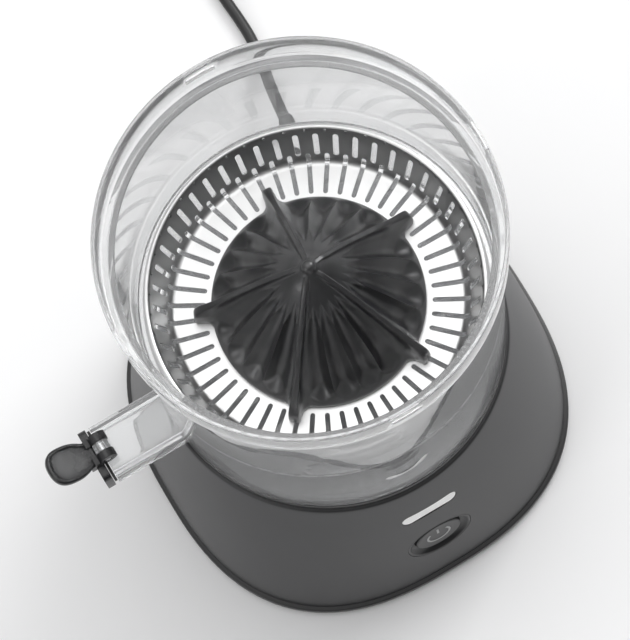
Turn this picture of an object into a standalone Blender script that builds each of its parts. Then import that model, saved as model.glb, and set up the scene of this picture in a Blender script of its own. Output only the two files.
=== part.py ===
"""Citrus press juicer: a motor base, a clear juice bowl with a drip-stop spout,
a slotted strainer and a fluted reamer.

Front is -Y, the spout points to -X and the mains lead leaves at +Y.  Everything hangs
from one empty on the drive axis, so the object's own box is centred on the origin.
All sizes are in metres.
"""
import math

import bmesh
import bpy
from mathutils import Matrix, Vector

MM = 0.001

# ---- fits shared by every piece -------------------------------------------------
GAP = 0.3 * MM             # between pieces that touch
RUN = 0.35 * MM            # radial clearance of a turning piece
EDGE = 0.8 * MM            # broken edge on the larger mouldings
SMALL_EDGE = 0.6 * MM      # broken edge on feet and the button
CUT_PAST = 6.0 * MM        # how far a cutter stands out past the surface it cuts
CUT_DEEP = 14.0 * MM       # how far it reaches in, well past the wall

# ---- bowl and reamer, which the rest is sized from --------------------------------
BOWL_R = 65.7 * MM         # outer radius of the bowl at its foot
BOWL_WALL = 2.2 * MM
REAMER_R = 38.4 * MM

# ---- motor base -----------------------------------------------------------------
FOOT_R = 8.0 * MM
FOOT_H = 2.2 * MM
FOOT_INSET = 26.0 * MM     # foot centre in from the plate's flat side
PLATE_HALF = 81.9 * MM     # half width of the base plate
PLATE_T = 4.0 * MM
PLINTH_LIP = 1.6 * MM      # how far the plate stands out past the housing
SQUARENESS = 2.56          # superellipse exponent of the footprint
HOUSING_WALL = 2.5 * MM
HOUSING_TOP = 102.8 * MM
HOUSING_NECK_R = BOWL_R + 0.8 * MM
HOUSING_BULGE = 0.45       # 0 gives straight flanks, 1 the fullest shoulder
HOUSING_SIDES = 40
DECK_R = BOWL_R - 0.3 * MM
FLANGE_IN_R = DECK_R - 9.4 * MM
DECK_T = 7.4 * MM
DECK_LAND_R = DECK_R - 7.9 * MM    # inside this the deck is sunk
DECK_SUNK = 2.0 * MM
DECK_BOSS_R = 7.4 * MM
DECK_BOSS_H = 6.0 * MM
DECK_SCREW_R = (DECK_LAND_R + DECK_R) / 2 - 1.0 * MM
PILLAR_R = 3.4 * MM
PILLAR_RING = FLANGE_IN_R + 2.0 * MM   # circle of the pillars, under the flange
PILLAR_BITE = 8.0 * MM

# ---- controls on the front ------------------------------------------------------
LED_Z = HOUSING_TOP - 24.3 * MM
LED_LENGTH = 23.0 * MM
LED_HEIGHT = 6.6 * MM
LED_DEPTH = 4.2 * MM
BUTTON_Z = HOUSING_TOP - 56.0 * MM
BEZEL_R = 13.6 * MM
BEZEL_DEPTH = 5.0 * MM
BEZEL_DISH = 2.0 * MM
BUTTON_R = 9.6 * MM
BUTTON_T = 3.0 * MM
BUTTON_SUNK = 1.0 * MM
BUTTON_TRAVEL = 1.0 * MM
STEM_R = 2.4 * MM
STEM_L = 5.0 * MM
SWITCH_SIZE = 12.0 * MM
SWITCH_T = 5.0 * MM
SWITCH_WELL = 2.0 * MM     # how far the stem stands inside the switch at rest
LED_BLOCK = 6.0 * MM
LED_BLOCK_T = 2.3 * MM
BOARD_W = 30.0 * MM
BOARD_H = 52.0 * MM
BOARD_T = 1.6 * MM

# ---- gear train and motor -------------------------------------------------------
SHAFT_R = 4.0 * MM
MODULE_1 = 1.0 * MM
MODULE_2 = 1.25 * MM
TEETH_MOTOR = 10
TEETH_IDLER_BIG = 30
TEETH_IDLER_SMALL = 10
TEETH_OUTPUT = 32
IDLER_DIST = MODULE_2 * (TEETH_IDLER_SMALL + TEETH_OUTPUT) / 2
MOTOR_DIST = MODULE_1 * (TEETH_MOTOR + TEETH_IDLER_BIG) / 2
CASE_R = IDLER_DIST + MODULE_1 * TEETH_IDLER_BIG / 2 + 4.75 * MM
CASE_WALL = 2.4 * MM
CASE_DEPTH = 23.2 * MM     # from the housing's top down to the case's underside
CASE_FLOOR_Z = HOUSING_TOP - CASE_DEPTH
CASE_FLANGE_R = FLANGE_IN_R - 0.5 * MM
CASE_FLANGE_T = 2.6 * MM
STAGE_1_Z = CASE_FLOOR_Z + 3.6 * MM
STAGE_1_FACE = 4.8 * MM
STAGE_2_Z = STAGE_1_Z + 5.8 * MM
STAGE_2_FACE = 8.0 * MM
GEAR_HIGH = 0.2            # top of the cutters that bore the gears, above them all
IDLER_ANGLE = math.radians(90.0)
MOTOR_ANGLE = math.radians(-150.0)
IDLER_PIN_R = 2.0 * MM
PIN_HEAD = 0.8 * MM        # collar and head beyond the pin's own radius
MOTOR_R = 21.0 * MM
MOTOR_L = 48.0 * MM
MOTOR_WALL = 1.5 * MM
MAGNET_T = 3.4 * MM
ARMATURE_R = 14.2 * MM
ARMATURE_L = 26.0 * MM
MOTOR_SHAFT_R = 1.6 * MM
MOTOR_SCREW_R = 10.0 * MM
BUSH_PLUG_R = 4.2 * MM     # hole in the case floor round the motor's nose
MOTOR_BUSH_R = 3.3 * MM
MOTOR_BUSH_T = 2.5 * MM
MOTOR_TAIL = 4.5 * MM      # shaft below the can
MAGNET_IN = 8.0 * MM       # magnets stop short of the can's ends by this
ARMATURE_NECK_R = 5.0 * MM
BUSH_R = 6.2 * MM
LOWER_BUSH_R = 7.0 * MM
SEAL_H = 2.4 * MM

# ---- fasteners ------------------------------------------------------------------
SCREW_R = 1.4 * MM
SCREW_HEAD_R = 2.7 * MM
SCREW_HEAD_T = 1.8 * MM
SCREW_GRIP = 3.4 * MM      # thread length in the piece it holds
SCREW_PHASE = math.radians(52.0)
CASE_SCREW_PHASE = math.radians(-33.0)
CASE_SCREW_R = CASE_R + CASE_WALL + SCREW_HEAD_R + 2 * GAP

# ---- bowl -----------------------------------------------------------------------
BOWL_H = 133.6 * MM
BOWL_DRAFT = 0.3 * MM      # how much wider the wall is at its top
RIM_R = BOWL_R + 4.3 * MM
RIM_H = 15.3 * MM          # height of the wider band at the rim
RIM_WALL = 1.5 * MM
SHELF_Z = 54.6 * MM        # top of the ledge that carries the strainer
SHELF_W = 3.0 * MM
SHELF_T = 1.5 * MM
BOWL_FLOOR_Z = 2.3 * MM    # underside of the floor at its edge
BOWL_FLOOR_T = 2.3 * MM
BOWL_FLOOR_RISE = 5.2 * MM
FLOOR_FILLET = 3.6 * MM
RIM_STEP = 1.9 * MM        # height of the slope under the wider band
CHIMNEY_R = 11.0 * MM
CHIMNEY_BORE = 8.2 * MM
WINDOW_L = 11.5 * MM
WINDOW_H = 3.2 * MM

# ---- spout and its flap ---------------------------------------------------------
SPOUT_REACH = BOWL_R + 28.0 * MM   # mouth plane from the axis
SPOUT_W = 20.8 * MM
SPOUT_TOP = 14.4 * MM
SPOUT_BOTTOM = 0.4 * MM
SPOUT_WALL = 2.0 * MM
SPOUT_ROUND = 2.2 * MM     # on the duct's long edges
HINGE_BACK = 0.8 * MM      # hinge axis inside the mouth plane
HINGE_UP = 5.2 * MM        # hinge axis above the duct's top
LUG_R = 3.0 * MM
LUG_W = 3.4 * MM
PIN_R = 1.0 * MM
EAR_R = 3.6 * MM
EAR_W = 3.2 * MM
SEAL_T = 1.0 * MM
FLAP_T = 3.0 * MM
FLAP_CLEAR_R = 4.3 * MM    # nothing but the ears comes nearer to the hinge
PADDLE_L = 19.2 * MM
PADDLE_W = 14.6 * MM
PADDLE_CORNER = 5.5 * MM
PADDLE_T = 2.8 * MM
PADDLE_RISE = math.radians(24.0)

# ---- strainer -------------------------------------------------------------------
STRAINER_FLOOR_Z = 42.1 * MM
SHEET_T = 0.8 * MM
STRAINER_BORE = 9.0 * MM
STRAINER_RIM_R = BOWL_R - BOWL_WALL - 1.8 * MM
STRAINER_RIM_IN_R = STRAINER_RIM_R - 2.9 * MM
STRAINER_RIM_Z = 60.2 * MM
FLOOR_R = STRAINER_RIM_IN_R - 5.8 * MM
FLOOR_CORNER = 1.6 * MM    # the slots stop this far either side of the floor's corner
SLOT_IN_R = REAMER_R + 2.0 * MM
SLOT_COUNT = 50
SLOT_PHASE = math.radians(6.2)
FLOOR_SLOT_W = 1.6 * MM
WALL_SLOT_W = 2.1 * MM

# ---- reamer ---------------------------------------------------------------------
REAMER_H = 52.2 * MM
REAMER_LIFT = 0.6 * MM     # runs this far above the strainer's floor
REAMER_SKIRT = 2.2 * MM
REAMER_WALL = 3.0 * MM
FIN_COUNT = 5
FIN_PHASE = math.radians(84.5)
FIN_END_R = REAMER_R + 6.4 * MM
FIN_W = 1.7 * MM
FLUTE_DEPTH = 0.09
KNOB_R = 3.0 * MM
SOCKET_R = 6.6 * MM
SOCKET_L = 26.0 * MM
SOCKET_TOP = 32.0 * MM
POST_WALL = 2.4 * MM

# ---- mains lead -----------------------------------------------------------------
CORD_R = 2.3 * MM
EXIT_X = 34.5 * MM
EXIT_Z = 18.0 * MM
RELIEF_L = 30.0 * MM
RELIEF_ROOT_R = 5.0 * MM
COIL_R = 25.0 * MM         # middle of the turns
COIL_W = 4 * CORD_R
COIL_H = 6 * CORD_R
COIL_AT = (68.8 * MM, 205.0 * MM)
PLUG_L = 30.0 * MM
PLUG_W = 18.0 * MM
PLUG_T = 11.0 * MM
PRONG_L = 19.0 * MM
PRONG_R = 2.0 * MM
PRONG_PITCH = 18.6 * MM / 2

# ---- levels worked out from the sizes above -------------------------------------
PLATE_Z = FOOT_H + GAP
HOUSING_Z = PLATE_Z + PLATE_T + GAP
HOUSING_HALF = PLATE_HALF - PLINTH_LIP
PILLAR_AT = PILLAR_RING / math.sqrt(2)
PILLAR_Z = HOUSING_Z
PILLAR_H = HOUSING_TOP - HOUSING_WALL - GAP - PILLAR_Z
DECK_Z = HOUSING_TOP + GAP
BOWL_Z = DECK_Z + DECK_T + GAP
MOUTH_X = -SPOUT_REACH
HINGE = Vector((MOUTH_X + HINGE_BACK, 0.0, BOWL_Z + SPOUT_TOP + HINGE_UP))
FLAP_X = MOUTH_X - GAP - SEAL_T - GAP
REAMER_Z = BOWL_Z + STRAINER_FLOOR_Z + REAMER_LIFT
IDLER_AT = Vector((IDLER_DIST * math.cos(IDLER_ANGLE), IDLER_DIST * math.sin(IDLER_ANGLE), 0))
MOTOR_AT = IDLER_AT + Vector((MOTOR_DIST * math.cos(MOTOR_ANGLE),
                              MOTOR_DIST * math.sin(MOTOR_ANGLE), 0))
MOTOR_TOP = CASE_FLOOR_Z - GAP
SHAFT_TOP = REAMER_Z + SOCKET_TOP - 1.0 * MM
PADDLE_X = HINGE.x - FLAP_CLEAR_R - PADDLE_L * math.cos(PADDLE_RISE)
AXIS_X = -(PLATE_HALF + PADDLE_X) / 2

for old in list(bpy.data.objects):
    bpy.data.objects.remove(old, do_unlink=True)

scene_root = bpy.data.objects.new("drive_axis", None)
scene_root.location = (AXIS_X, 0.0, 0.0)
bpy.context.collection.objects.link(scene_root)


# ---- materials ------------------------------------------------------------------
def make_material(name, colour, roughness, metallic=0.0):
    """A Principled material with the part's colour, roughness and metal value."""
    material = bpy.data.materials.new(name)
    material.use_nodes = True
    shader = material.node_tree.nodes["Principled BSDF"]
    shader.inputs["Base Color"].default_value = (*colour, 1.0)
    shader.inputs["Roughness"].default_value = roughness
    shader.inputs["Metallic"].default_value = metallic
    return material


SATIN_GREY = make_material("satin_grey", (0.075, 0.075, 0.08), 0.42)
BLACK = make_material("black_plastic", (0.02, 0.02, 0.022), 0.4)
CHARCOAL = make_material("charcoal_plastic", (0.035, 0.036, 0.038), 0.32)
CLEAR = make_material("clear_plastic", (0.86, 0.87, 0.87), 0.08)
STEEL = make_material("stainless_steel", (0.72, 0.72, 0.72), 0.25, 1.0)
LIGHT = make_material("indicator_lens", (0.78, 0.78, 0.76), 0.4)
RUBBER = make_material("rubber", (0.03, 0.03, 0.03), 0.75)
GEAR_WHITE = make_material("gear_plastic", (0.8, 0.79, 0.74), 0.45)
BOARD_GREEN = make_material("circuit_board", (0.04, 0.19, 0.09), 0.5)
BRASS = make_material("brass", (0.72, 0.52, 0.22), 0.3, 1.0)
IRON = make_material("motor_iron", (0.3, 0.3, 0.31), 0.45, 1.0)


# ---- shape helpers --------------------------------------------------------------
def add_object(name, bm, material, at=(0, 0, 0), turn=None, sharp=35.0):
    """Turns a bmesh into an object under the drive axis, with its faces pointing out."""
    bmesh.ops.recalc_face_normals(bm, faces=bm.faces)
    mesh = bpy.data.meshes.new(name)
    bm.to_mesh(mesh)
    bm.free()
    mesh.shade_smooth()
    mesh.set_sharp_from_angle(angle=math.radians(sharp))
    mesh.materials.append(material)
    obj = bpy.data.objects.new(name, mesh)
    bpy.context.collection.objects.link(obj)
    obj.parent = scene_root
    obj.location = at
    if turn is not None:
        obj.rotation_euler = turn.to_euler()
    return obj


def cut(obj, tool, operation="DIFFERENCE"):
    """Adds a live Boolean whose tool stays hidden."""
    tool.hide_render = True
    tool.hide_set(True)
    tool.display_type = "WIRE"
    modifier = obj.modifiers.new(tool.name, "BOOLEAN")
    modifier.operation = operation
    modifier.solver = "EXACT"
    modifier.object = tool


def ring_points(radius, z, count, phase=0.0):
    """Points of a circle at one height."""
    step = 2 * math.pi / count
    return [(radius * math.cos(phase + step * i), radius * math.sin(phase + step * i), z)
            for i in range(count)]


def skin_rings(bm, rings, closed):
    """Quads between rings of equal count; the ends are capped unless the rings close."""
    loops = [[bm.verts.new(p) for p in ring] for ring in rings]
    count = len(loops[0])
    pairs = list(zip(loops, loops[1:]))
    if closed:
        pairs.append((loops[-1], loops[0]))
    else:
        bm.faces.new(loops[0])
        bm.faces.new(loops[-1])
    for low, high in pairs:
        for i in range(count):
            j = (i + 1) % count
            bm.faces.new((low[i], low[j], high[j], high[i]))
    return loops


def turned(name, profile, material, count=16, at=(0, 0, 0), turn=None, closed=False):
    """A turned piece: its (radius, height) profile swept round local Z."""
    bm = bmesh.new()
    skin_rings(bm, [ring_points(r, z, count) for r, z in profile], closed)
    return add_object(name, bm, material, at, turn)


def prism(name, outline, low, high, material, at=(0, 0, 0), turn=None):
    """An outline in local XY, extruded from low to high."""
    bm = bmesh.new()
    skin_rings(bm, [[(x, y, low) for x, y in outline], [(x, y, high) for x, y in outline]], False)
    return add_object(name, bm, material, at, turn)


def box(name, low, high, material, at=(0, 0, 0), turn=None):
    """A rectangular block between two corners."""
    outline = [(low[0], low[1]), (high[0], low[1]), (high[0], high[1]), (low[0], high[1])]
    return prism(name, outline, low[2], high[2], material, at, turn)


def stadium(length, height, steps=6):
    """Outline of a slot with round ends, long way on X."""
    r = height / 2
    points = []
    for side, start in ((1, -90.0), (-1, 90.0)):
        for i in range(steps + 1):
            a = math.radians(start + 180.0 * i / steps)
            points.append((side * (length / 2 - r) + r * math.cos(a), r * math.sin(a)))
    return points


def screw(name, at, down=True, grip=SCREW_GRIP, through=0.0):
    """A pan-head screw, its head's bearing face at the given point, thread along -Z or +Z."""
    reach = through + grip
    profile = [(SCREW_HEAD_R * 0.9, SCREW_HEAD_T), (SCREW_HEAD_R, 0.0), (SCREW_R, 0.0),
               (SCREW_R, -reach)]
    turn = None if down else Matrix.Rotation(math.pi, 3, "X")
    return turned(name, profile, STEEL, 8, at, turn)


# ---- the housing's shape --------------------------------------------------------
def flank(z):
    """Half width and squareness of the housing at one height."""
    t = (HOUSING_TOP - z) / (HOUSING_TOP - HOUSING_Z)
    full = (1 + HOUSING_BULGE) * t - HOUSING_BULGE * t * t
    return HOUSING_NECK_R + (HOUSING_HALF - HOUSING_NECK_R) * full, 2 + (SQUARENESS - 2) * t


def rounded_square(half, power, z, count):
    """A superellipse at one height: |x|^p + |y|^p = half^p."""
    points = []
    for i in range(count):
        a = 2 * math.pi * i / count
        c, s = math.cos(a), math.sin(a)
        r = half / (abs(c) ** power + abs(s) ** power) ** (1 / power)
        points.append((r * c, r * s, z))
    return points


def front_place(z):
    """Point on the housing's front centre line, and the turn whose Z points out of it."""
    step = 0.5 * MM
    y = -flank(z)[0]
    slope = (flank(z - step)[0] - flank(z + step)[0]) / (2 * step)
    out = Vector((0, -1, slope)).normalized()
    side = Vector((1, 0, 0))
    turn = Matrix((side, out.cross(side), out)).transposed()
    return Vector((0, y, z)), turn


def build_base_plate():
    """Bottom cover that forms the black plinth line, with holes for its four screws."""
    bm = bmesh.new()
    top = PLATE_Z + PLATE_T
    rings = [rounded_square(half, SQUARENESS, z, HOUSING_SIDES)
             for half, z in ((PLATE_HALF - EDGE, PLATE_Z), (PLATE_HALF, PLATE_Z + EDGE),
                             (PLATE_HALF, top - EDGE), (PLATE_HALF - EDGE, top))]
    skin_rings(bm, rings, False)
    plate = add_object("base_plate", bm, BLACK)
    for i, (x, y) in enumerate(corner_points(PLATE_HALF - FOOT_INSET)):
        profile = [(FOOT_R - SMALL_EDGE, 0), (FOOT_R, SMALL_EDGE), (FOOT_R, FOOT_H)]
        turned(f"foot_{i + 1}", profile, RUBBER, 14, (x, y, 0))
    return plate


def corner_points(half):
    """The four corners of a square."""
    return [(sx * half, sy * half) for sx, sy in ((-1, -1), (1, -1), (1, 1), (-1, 1))]


def build_base_fasteners(plate):
    """Four pillars under the deck's flange, each held by a screw through the base plate."""
    post_at = corner_points(PILLAR_AT)
    for i, (x, y) in enumerate(post_at):
        hole = turned(f"cut_plate_{i}", [(SCREW_R + RUN, -1 * MM), (SCREW_R + RUN, PLATE_T * 2)],
                      BLACK, 8, (x, y, PLATE_Z))
        cut(plate, hole)
        screw(f"base_screw_{i + 1}", (x, y, PLATE_Z - GAP), down=False,
              through=PLATE_T + 2 * GAP, grip=PILLAR_BITE)
        profile = [(PILLAR_R, 0), (PILLAR_R, PILLAR_H), (SCREW_R + RUN, PILLAR_H),
                   (SCREW_R + RUN, 0)]
        turned(f"pillar_{i + 1}", profile, STEEL, 8, (x, y, PILLAR_Z), closed=True)


def build_housing():
    """Tapering shell, round at its neck and a rounded square at its foot."""
    tall = HOUSING_TOP - HOUSING_Z
    outer_z = [HOUSING_Z + tall * share for share in (0.0, 0.21, 0.44, 0.65, 0.835)]
    outer_z.append(HOUSING_TOP)
    rings = []
    for z in outer_z:
        half, power = flank(z)
        rings.append(rounded_square(half, power, z, HOUSING_SIDES))
    rings.append(ring_points(FLANGE_IN_R, HOUSING_TOP, HOUSING_SIDES))
    rings.append(ring_points(FLANGE_IN_R, HOUSING_TOP - HOUSING_WALL, HOUSING_SIDES))
    for z in reversed([HOUSING_Z] + outer_z[2:5] + [HOUSING_TOP - HOUSING_WALL]):
        half, power = flank(z)
        rings.append(rounded_square(half - HOUSING_WALL, power, z, HOUSING_SIDES))
    bm = bmesh.new()
    skin_rings(bm, rings, True)
    housing = add_object("housing", bm, SATIN_GREY, sharp=50)

    led_at, led_turn = front_place(LED_Z)
    slot = prism("cut_led", stadium(LED_LENGTH + 2 * GAP, LED_HEIGHT + 2 * GAP, 4),
                 -CUT_DEEP, CUT_PAST, BLACK, led_at, led_turn)
    cut(housing, slot)
    button_at, button_turn = front_place(BUTTON_Z)
    hole = turned("cut_button", [(BEZEL_R + GAP, -CUT_DEEP), (BEZEL_R + GAP, CUT_PAST)], BLACK,
                  20, button_at, button_turn)
    cut(housing, hole)
    relief = turned("cut_relief", [(RELIEF_ROOT_R + GAP, -CUT_DEEP),
                                   (RELIEF_ROOT_R + GAP, CUT_DEEP)], BLACK, 12,
                    (EXIT_X, HOUSING_HALF, EXIT_Z), Matrix.Rotation(-math.pi / 2, 3, "X"))
    cut(housing, relief)
    for i, (x, y, _) in enumerate(ring_points(DECK_SCREW_R, 0, 4, SCREW_PHASE)):
        hole = turned(f"cut_flange_{i}", [(SCREW_R + RUN, -CUT_PAST), (SCREW_R + RUN, CUT_PAST)],
                      BLACK, 8, (x, y, HOUSING_TOP))
        cut(housing, hole)
    return housing


def build_deck():
    """Round collar that closes the housing and carries the bowl, with a boss for the bush."""
    top = DECK_Z + DECK_T
    sunk = top - DECK_SUNK
    boss = BOWL_Z + DECK_BOSS_H
    bore = BUSH_R + GAP
    profile = [(bore, DECK_Z), (DECK_R, DECK_Z), (DECK_R, top - EDGE), (DECK_R - EDGE, top),
               (DECK_LAND_R, top), (DECK_LAND_R - EDGE, sunk), (DECK_BOSS_R, sunk),
               (DECK_BOSS_R, boss), (bore, boss)]
    deck = turned("top_deck", profile, BLACK, 36, closed=True)
    deck_ring = ring_points(DECK_SCREW_R, 0, 4, SCREW_PHASE)
    case_ring = ring_points(CASE_SCREW_R, 0, 3, CASE_SCREW_PHASE)
    for kind, ring, held in (("deck", deck_ring, HOUSING_WALL),
                             ("case", case_ring, CASE_FLANGE_T)):
        for i, (x, y, _) in enumerate(ring):
            hole = turned(f"cut_deck_{kind}_{i}", [(SCREW_R + RUN, -2 * MM),
                                                   (SCREW_R + RUN, SCREW_GRIP + GAP)],
                          BLACK, 8, (x, y, DECK_Z))
            cut(deck, hole)
            screw(f"{kind}_screw_{i + 1}", (x, y, HOUSING_TOP - held - GAP), down=False,
                  through=held + 2 * GAP, grip=SCREW_GRIP - GAP)
    return deck


# ---- gears ----------------------------------------------------------------------
def gear_outline(teeth, module, phase=0.0):
    """Straight-flanked teeth, thin enough to leave backlash; a tooth is centred on phase."""
    pitch = 2 * math.pi / teeth
    radius = module * teeth / 2
    root = radius - 1.15 * module
    tip = radius + 0.85 * module
    points = []
    for i in range(teeth):
        middle = phase + pitch * i
        for share, r in ((-0.27, root), (-0.115, tip), (0.115, tip), (0.27, root)):
            a = middle + share * pitch
            points.append((r * math.cos(a), r * math.sin(a)))
    return points


def bored(obj, radius, at, low, high, sides=12):
    """Cuts a round hole through a piece."""
    off_edge = Matrix.Rotation(math.radians(7.0), 3, "Z")
    tool = turned(f"cut_{obj.name}_{len(obj.modifiers)}", [(radius, low), (radius, high)],
                  BLACK, sides, at, off_edge)
    cut(obj, tool)


def build_gears():
    """Motor pinion, compound idler and output gear, all in mesh at rest."""
    idler_back = IDLER_ANGLE + math.pi
    small_phase = idler_back
    output_phase = IDLER_ANGLE + math.pi / TEETH_OUTPUT
    big_phase = MOTOR_ANGLE
    pinion_phase = MOTOR_ANGLE + math.pi + math.pi / TEETH_MOTOR

    output = prism("output_gear", gear_outline(TEETH_OUTPUT, MODULE_2, output_phase),
                   STAGE_2_Z, STAGE_2_Z + STAGE_2_FACE, GEAR_WHITE)
    bored(output, SHAFT_R + GAP, (0, 0, 0), 0.0, GEAR_HIGH)

    top = STAGE_2_Z + STAGE_2_FACE
    idler = prism("idler_gear", gear_outline(TEETH_IDLER_BIG, MODULE_1, big_phase),
                  STAGE_1_Z, STAGE_1_Z + STAGE_1_FACE, GEAR_WHITE, IDLER_AT)
    small = prism("cut_idler_small", gear_outline(TEETH_IDLER_SMALL, MODULE_2, small_phase),
                  STAGE_1_Z + STAGE_1_FACE / 2, top, GEAR_WHITE, IDLER_AT)
    cut(idler, small, "UNION")
    bored(idler, IDLER_PIN_R + RUN, IDLER_AT, 0.0, GEAR_HIGH)

    pinion = prism("motor_pinion", gear_outline(TEETH_MOTOR, MODULE_1, pinion_phase),
                   STAGE_1_Z, STAGE_1_Z + STAGE_1_FACE, BRASS, MOTOR_AT)
    bored(pinion, MOTOR_SHAFT_R + GAP, MOTOR_AT, 0.0, GEAR_HIGH, 8)

    collar_top = STAGE_1_Z - GAP
    collar_low = collar_top - PIN_HEAD
    head_low = top + GAP
    collar_r = IDLER_PIN_R + PIN_HEAD
    profile = [(IDLER_PIN_R, CASE_FLOOR_Z), (IDLER_PIN_R, collar_low), (collar_r, collar_low),
               (collar_r, collar_top), (IDLER_PIN_R, collar_top), (IDLER_PIN_R, head_low),
               (collar_r, head_low), (collar_r, head_low + PIN_HEAD)]
    turned("idler_pin", profile, STEEL, 12, IDLER_AT)


def build_gear_case():
    """Cup under the deck that holds the gears, with the motor hung from its floor."""
    floor = CASE_FLOOR_Z
    rim = HOUSING_TOP
    outer = CASE_R + CASE_WALL
    profile = [(LOWER_BUSH_R + GAP, floor), (outer, floor), (outer, rim - CASE_FLANGE_T),
               (CASE_FLANGE_R, rim - CASE_FLANGE_T), (CASE_FLANGE_R, rim), (CASE_R, rim),
               (CASE_R, floor + CASE_WALL), (LOWER_BUSH_R + GAP, floor + CASE_WALL)]
    case = turned("gear_case", profile, BLACK, 28, closed=True)
    deep = CASE_WALL * 2
    bored(case, IDLER_PIN_R + GAP, IDLER_AT, floor - deep, floor + deep, 10)
    bored(case, BUSH_PLUG_R + GAP, MOTOR_AT, floor - deep, floor + deep, 12)
    for place in motor_screw_places():
        bored(case, SCREW_R + RUN, place, floor - deep, floor + deep, 8)
    for x, y, _ in ring_points(CASE_SCREW_R, 0, 3, CASE_SCREW_PHASE):
        bored(case, SCREW_R + RUN, (x, y, 0), rim - 2 * CASE_FLANGE_T, rim + deep, 8)
    return case


def motor_screw_places():
    """Two screw centres either side of the motor's axis, clear of the idler gear."""
    side = Vector((-math.sin(MOTOR_ANGLE), math.cos(MOTOR_ANGLE), 0)) * MOTOR_SCREW_R
    return [MOTOR_AT + side, MOTOR_AT - side]


def build_motor():
    """Can with magnets, end cap, two bushes and the armature that turns in them."""
    top = MOTOR_TOP
    low = top - MOTOR_L
    inner = MOTOR_R - MOTOR_WALL
    bore = MOTOR_BUSH_R
    profile = [(MOTOR_R, low), (MOTOR_R, top), (bore + GAP, top), (bore + GAP, top - MOTOR_WALL),
               (inner, top - MOTOR_WALL), (inner, low)]
    can = turned("motor_can", profile, IRON, 18, MOTOR_AT, closed=True)
    for i, place in enumerate(motor_screw_places()):
        bored(can, SCREW_R + GAP, place, top - 3 * MOTOR_WALL, top + CUT_PAST, 8)
        screw(f"motor_screw_{i + 1}", (*place[:2], CASE_FLOOR_Z + CASE_WALL + GAP),
              through=CASE_WALL + GAP, grip=2.0 * MM)

    cap_top = low - GAP
    cap_low = cap_top - MOTOR_BUSH_T
    profile = [(MOTOR_R, cap_low), (MOTOR_R, cap_top), (bore + GAP, cap_top),
               (bore + GAP, cap_low)]
    turned("motor_end_cap", profile, BLACK, 18, MOTOR_AT, closed=True)
    slack = MOTOR_SHAFT_R + RUN
    for name, z in (("motor_bush_top", top - MOTOR_WALL), ("motor_bush_bottom", cap_low)):
        profile = [(bore, z), (bore, z + MOTOR_BUSH_T), (slack, z + MOTOR_BUSH_T), (slack, z)]
        turned(name, profile, BRASS, 10, MOTOR_AT, closed=True)

    for i in range(2):
        start = math.radians(20 + 180 * i)
        arc = [start + math.radians(140) * k / 5 for k in range(6)]
        outer = inner - GAP
        points = [(outer * math.cos(a), outer * math.sin(a)) for a in arc]
        points += [((outer - MAGNET_T) * math.cos(a), (outer - MAGNET_T) * math.sin(a))
                   for a in reversed(arc)]
        prism(f"motor_magnet_{i + 1}", points, low + MAGNET_IN, top - MAGNET_IN, IRON, MOTOR_AT)

    core_low = low + (MOTOR_L - ARMATURE_L) / 2
    core_top = core_low + ARMATURE_L
    neck_low = low + 2.5 * MM
    neck_top = core_top + 2 * MM
    profile = [(MOTOR_SHAFT_R, low - MOTOR_TAIL), (MOTOR_SHAFT_R, neck_low),
               (ARMATURE_NECK_R, neck_low), (ARMATURE_NECK_R, core_low - 1.5 * MM),
               (ARMATURE_R, core_low), (ARMATURE_R, core_top), (ARMATURE_NECK_R, neck_top),
               (MOTOR_SHAFT_R, neck_top), (MOTOR_SHAFT_R, STAGE_1_Z + STAGE_1_FACE)]
    turned("armature", profile, IRON, 12, MOTOR_AT)


def build_shaft():
    """Drive shaft: round through its bushes, hexagonal where it enters the reamer."""
    count = 12
    hex_ring = []
    for i in range(count):
        a = 2 * math.pi * i / count
        hex_ring.append(SHAFT_R if i % 2 == 0 else SHAFT_R * math.cos(math.pi / 6))
    bm = bmesh.new()
    rings = [ring_points(SHAFT_R, CASE_FLOOR_Z + 0.4 * MM, count),
             ring_points(SHAFT_R, REAMER_Z - 3 * MM, count)]
    for z, share in ((REAMER_Z - 2 * MM, 1.0), (SHAFT_TOP - 1 * MM, 1.0), (SHAFT_TOP, 0.8)):
        rings.append([(r * share * math.cos(2 * math.pi * i / count),
                       r * share * math.sin(2 * math.pi * i / count), z)
                      for i, r in enumerate(hex_ring)])
    skin_rings(bm, rings, False)
    add_object("drive_shaft", bm, STEEL)

    bush_top = BOWL_Z + DECK_BOSS_H - SEAL_H
    for name, r, low, high, material in (
            ("upper_bush", BUSH_R, DECK_Z + 1 * MM, bush_top, BRASS),
            ("shaft_seal", BUSH_R, bush_top + GAP, BOWL_Z + DECK_BOSS_H, RUBBER),
            ("lower_bush", LOWER_BUSH_R, CASE_FLOOR_Z, CASE_FLOOR_Z + 3.0 * MM, BRASS)):
        inner = SHAFT_R + RUN
        turned(name, [(r, low), (r, high), (inner, high), (inner, low)], material, 14, closed=True)


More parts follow.
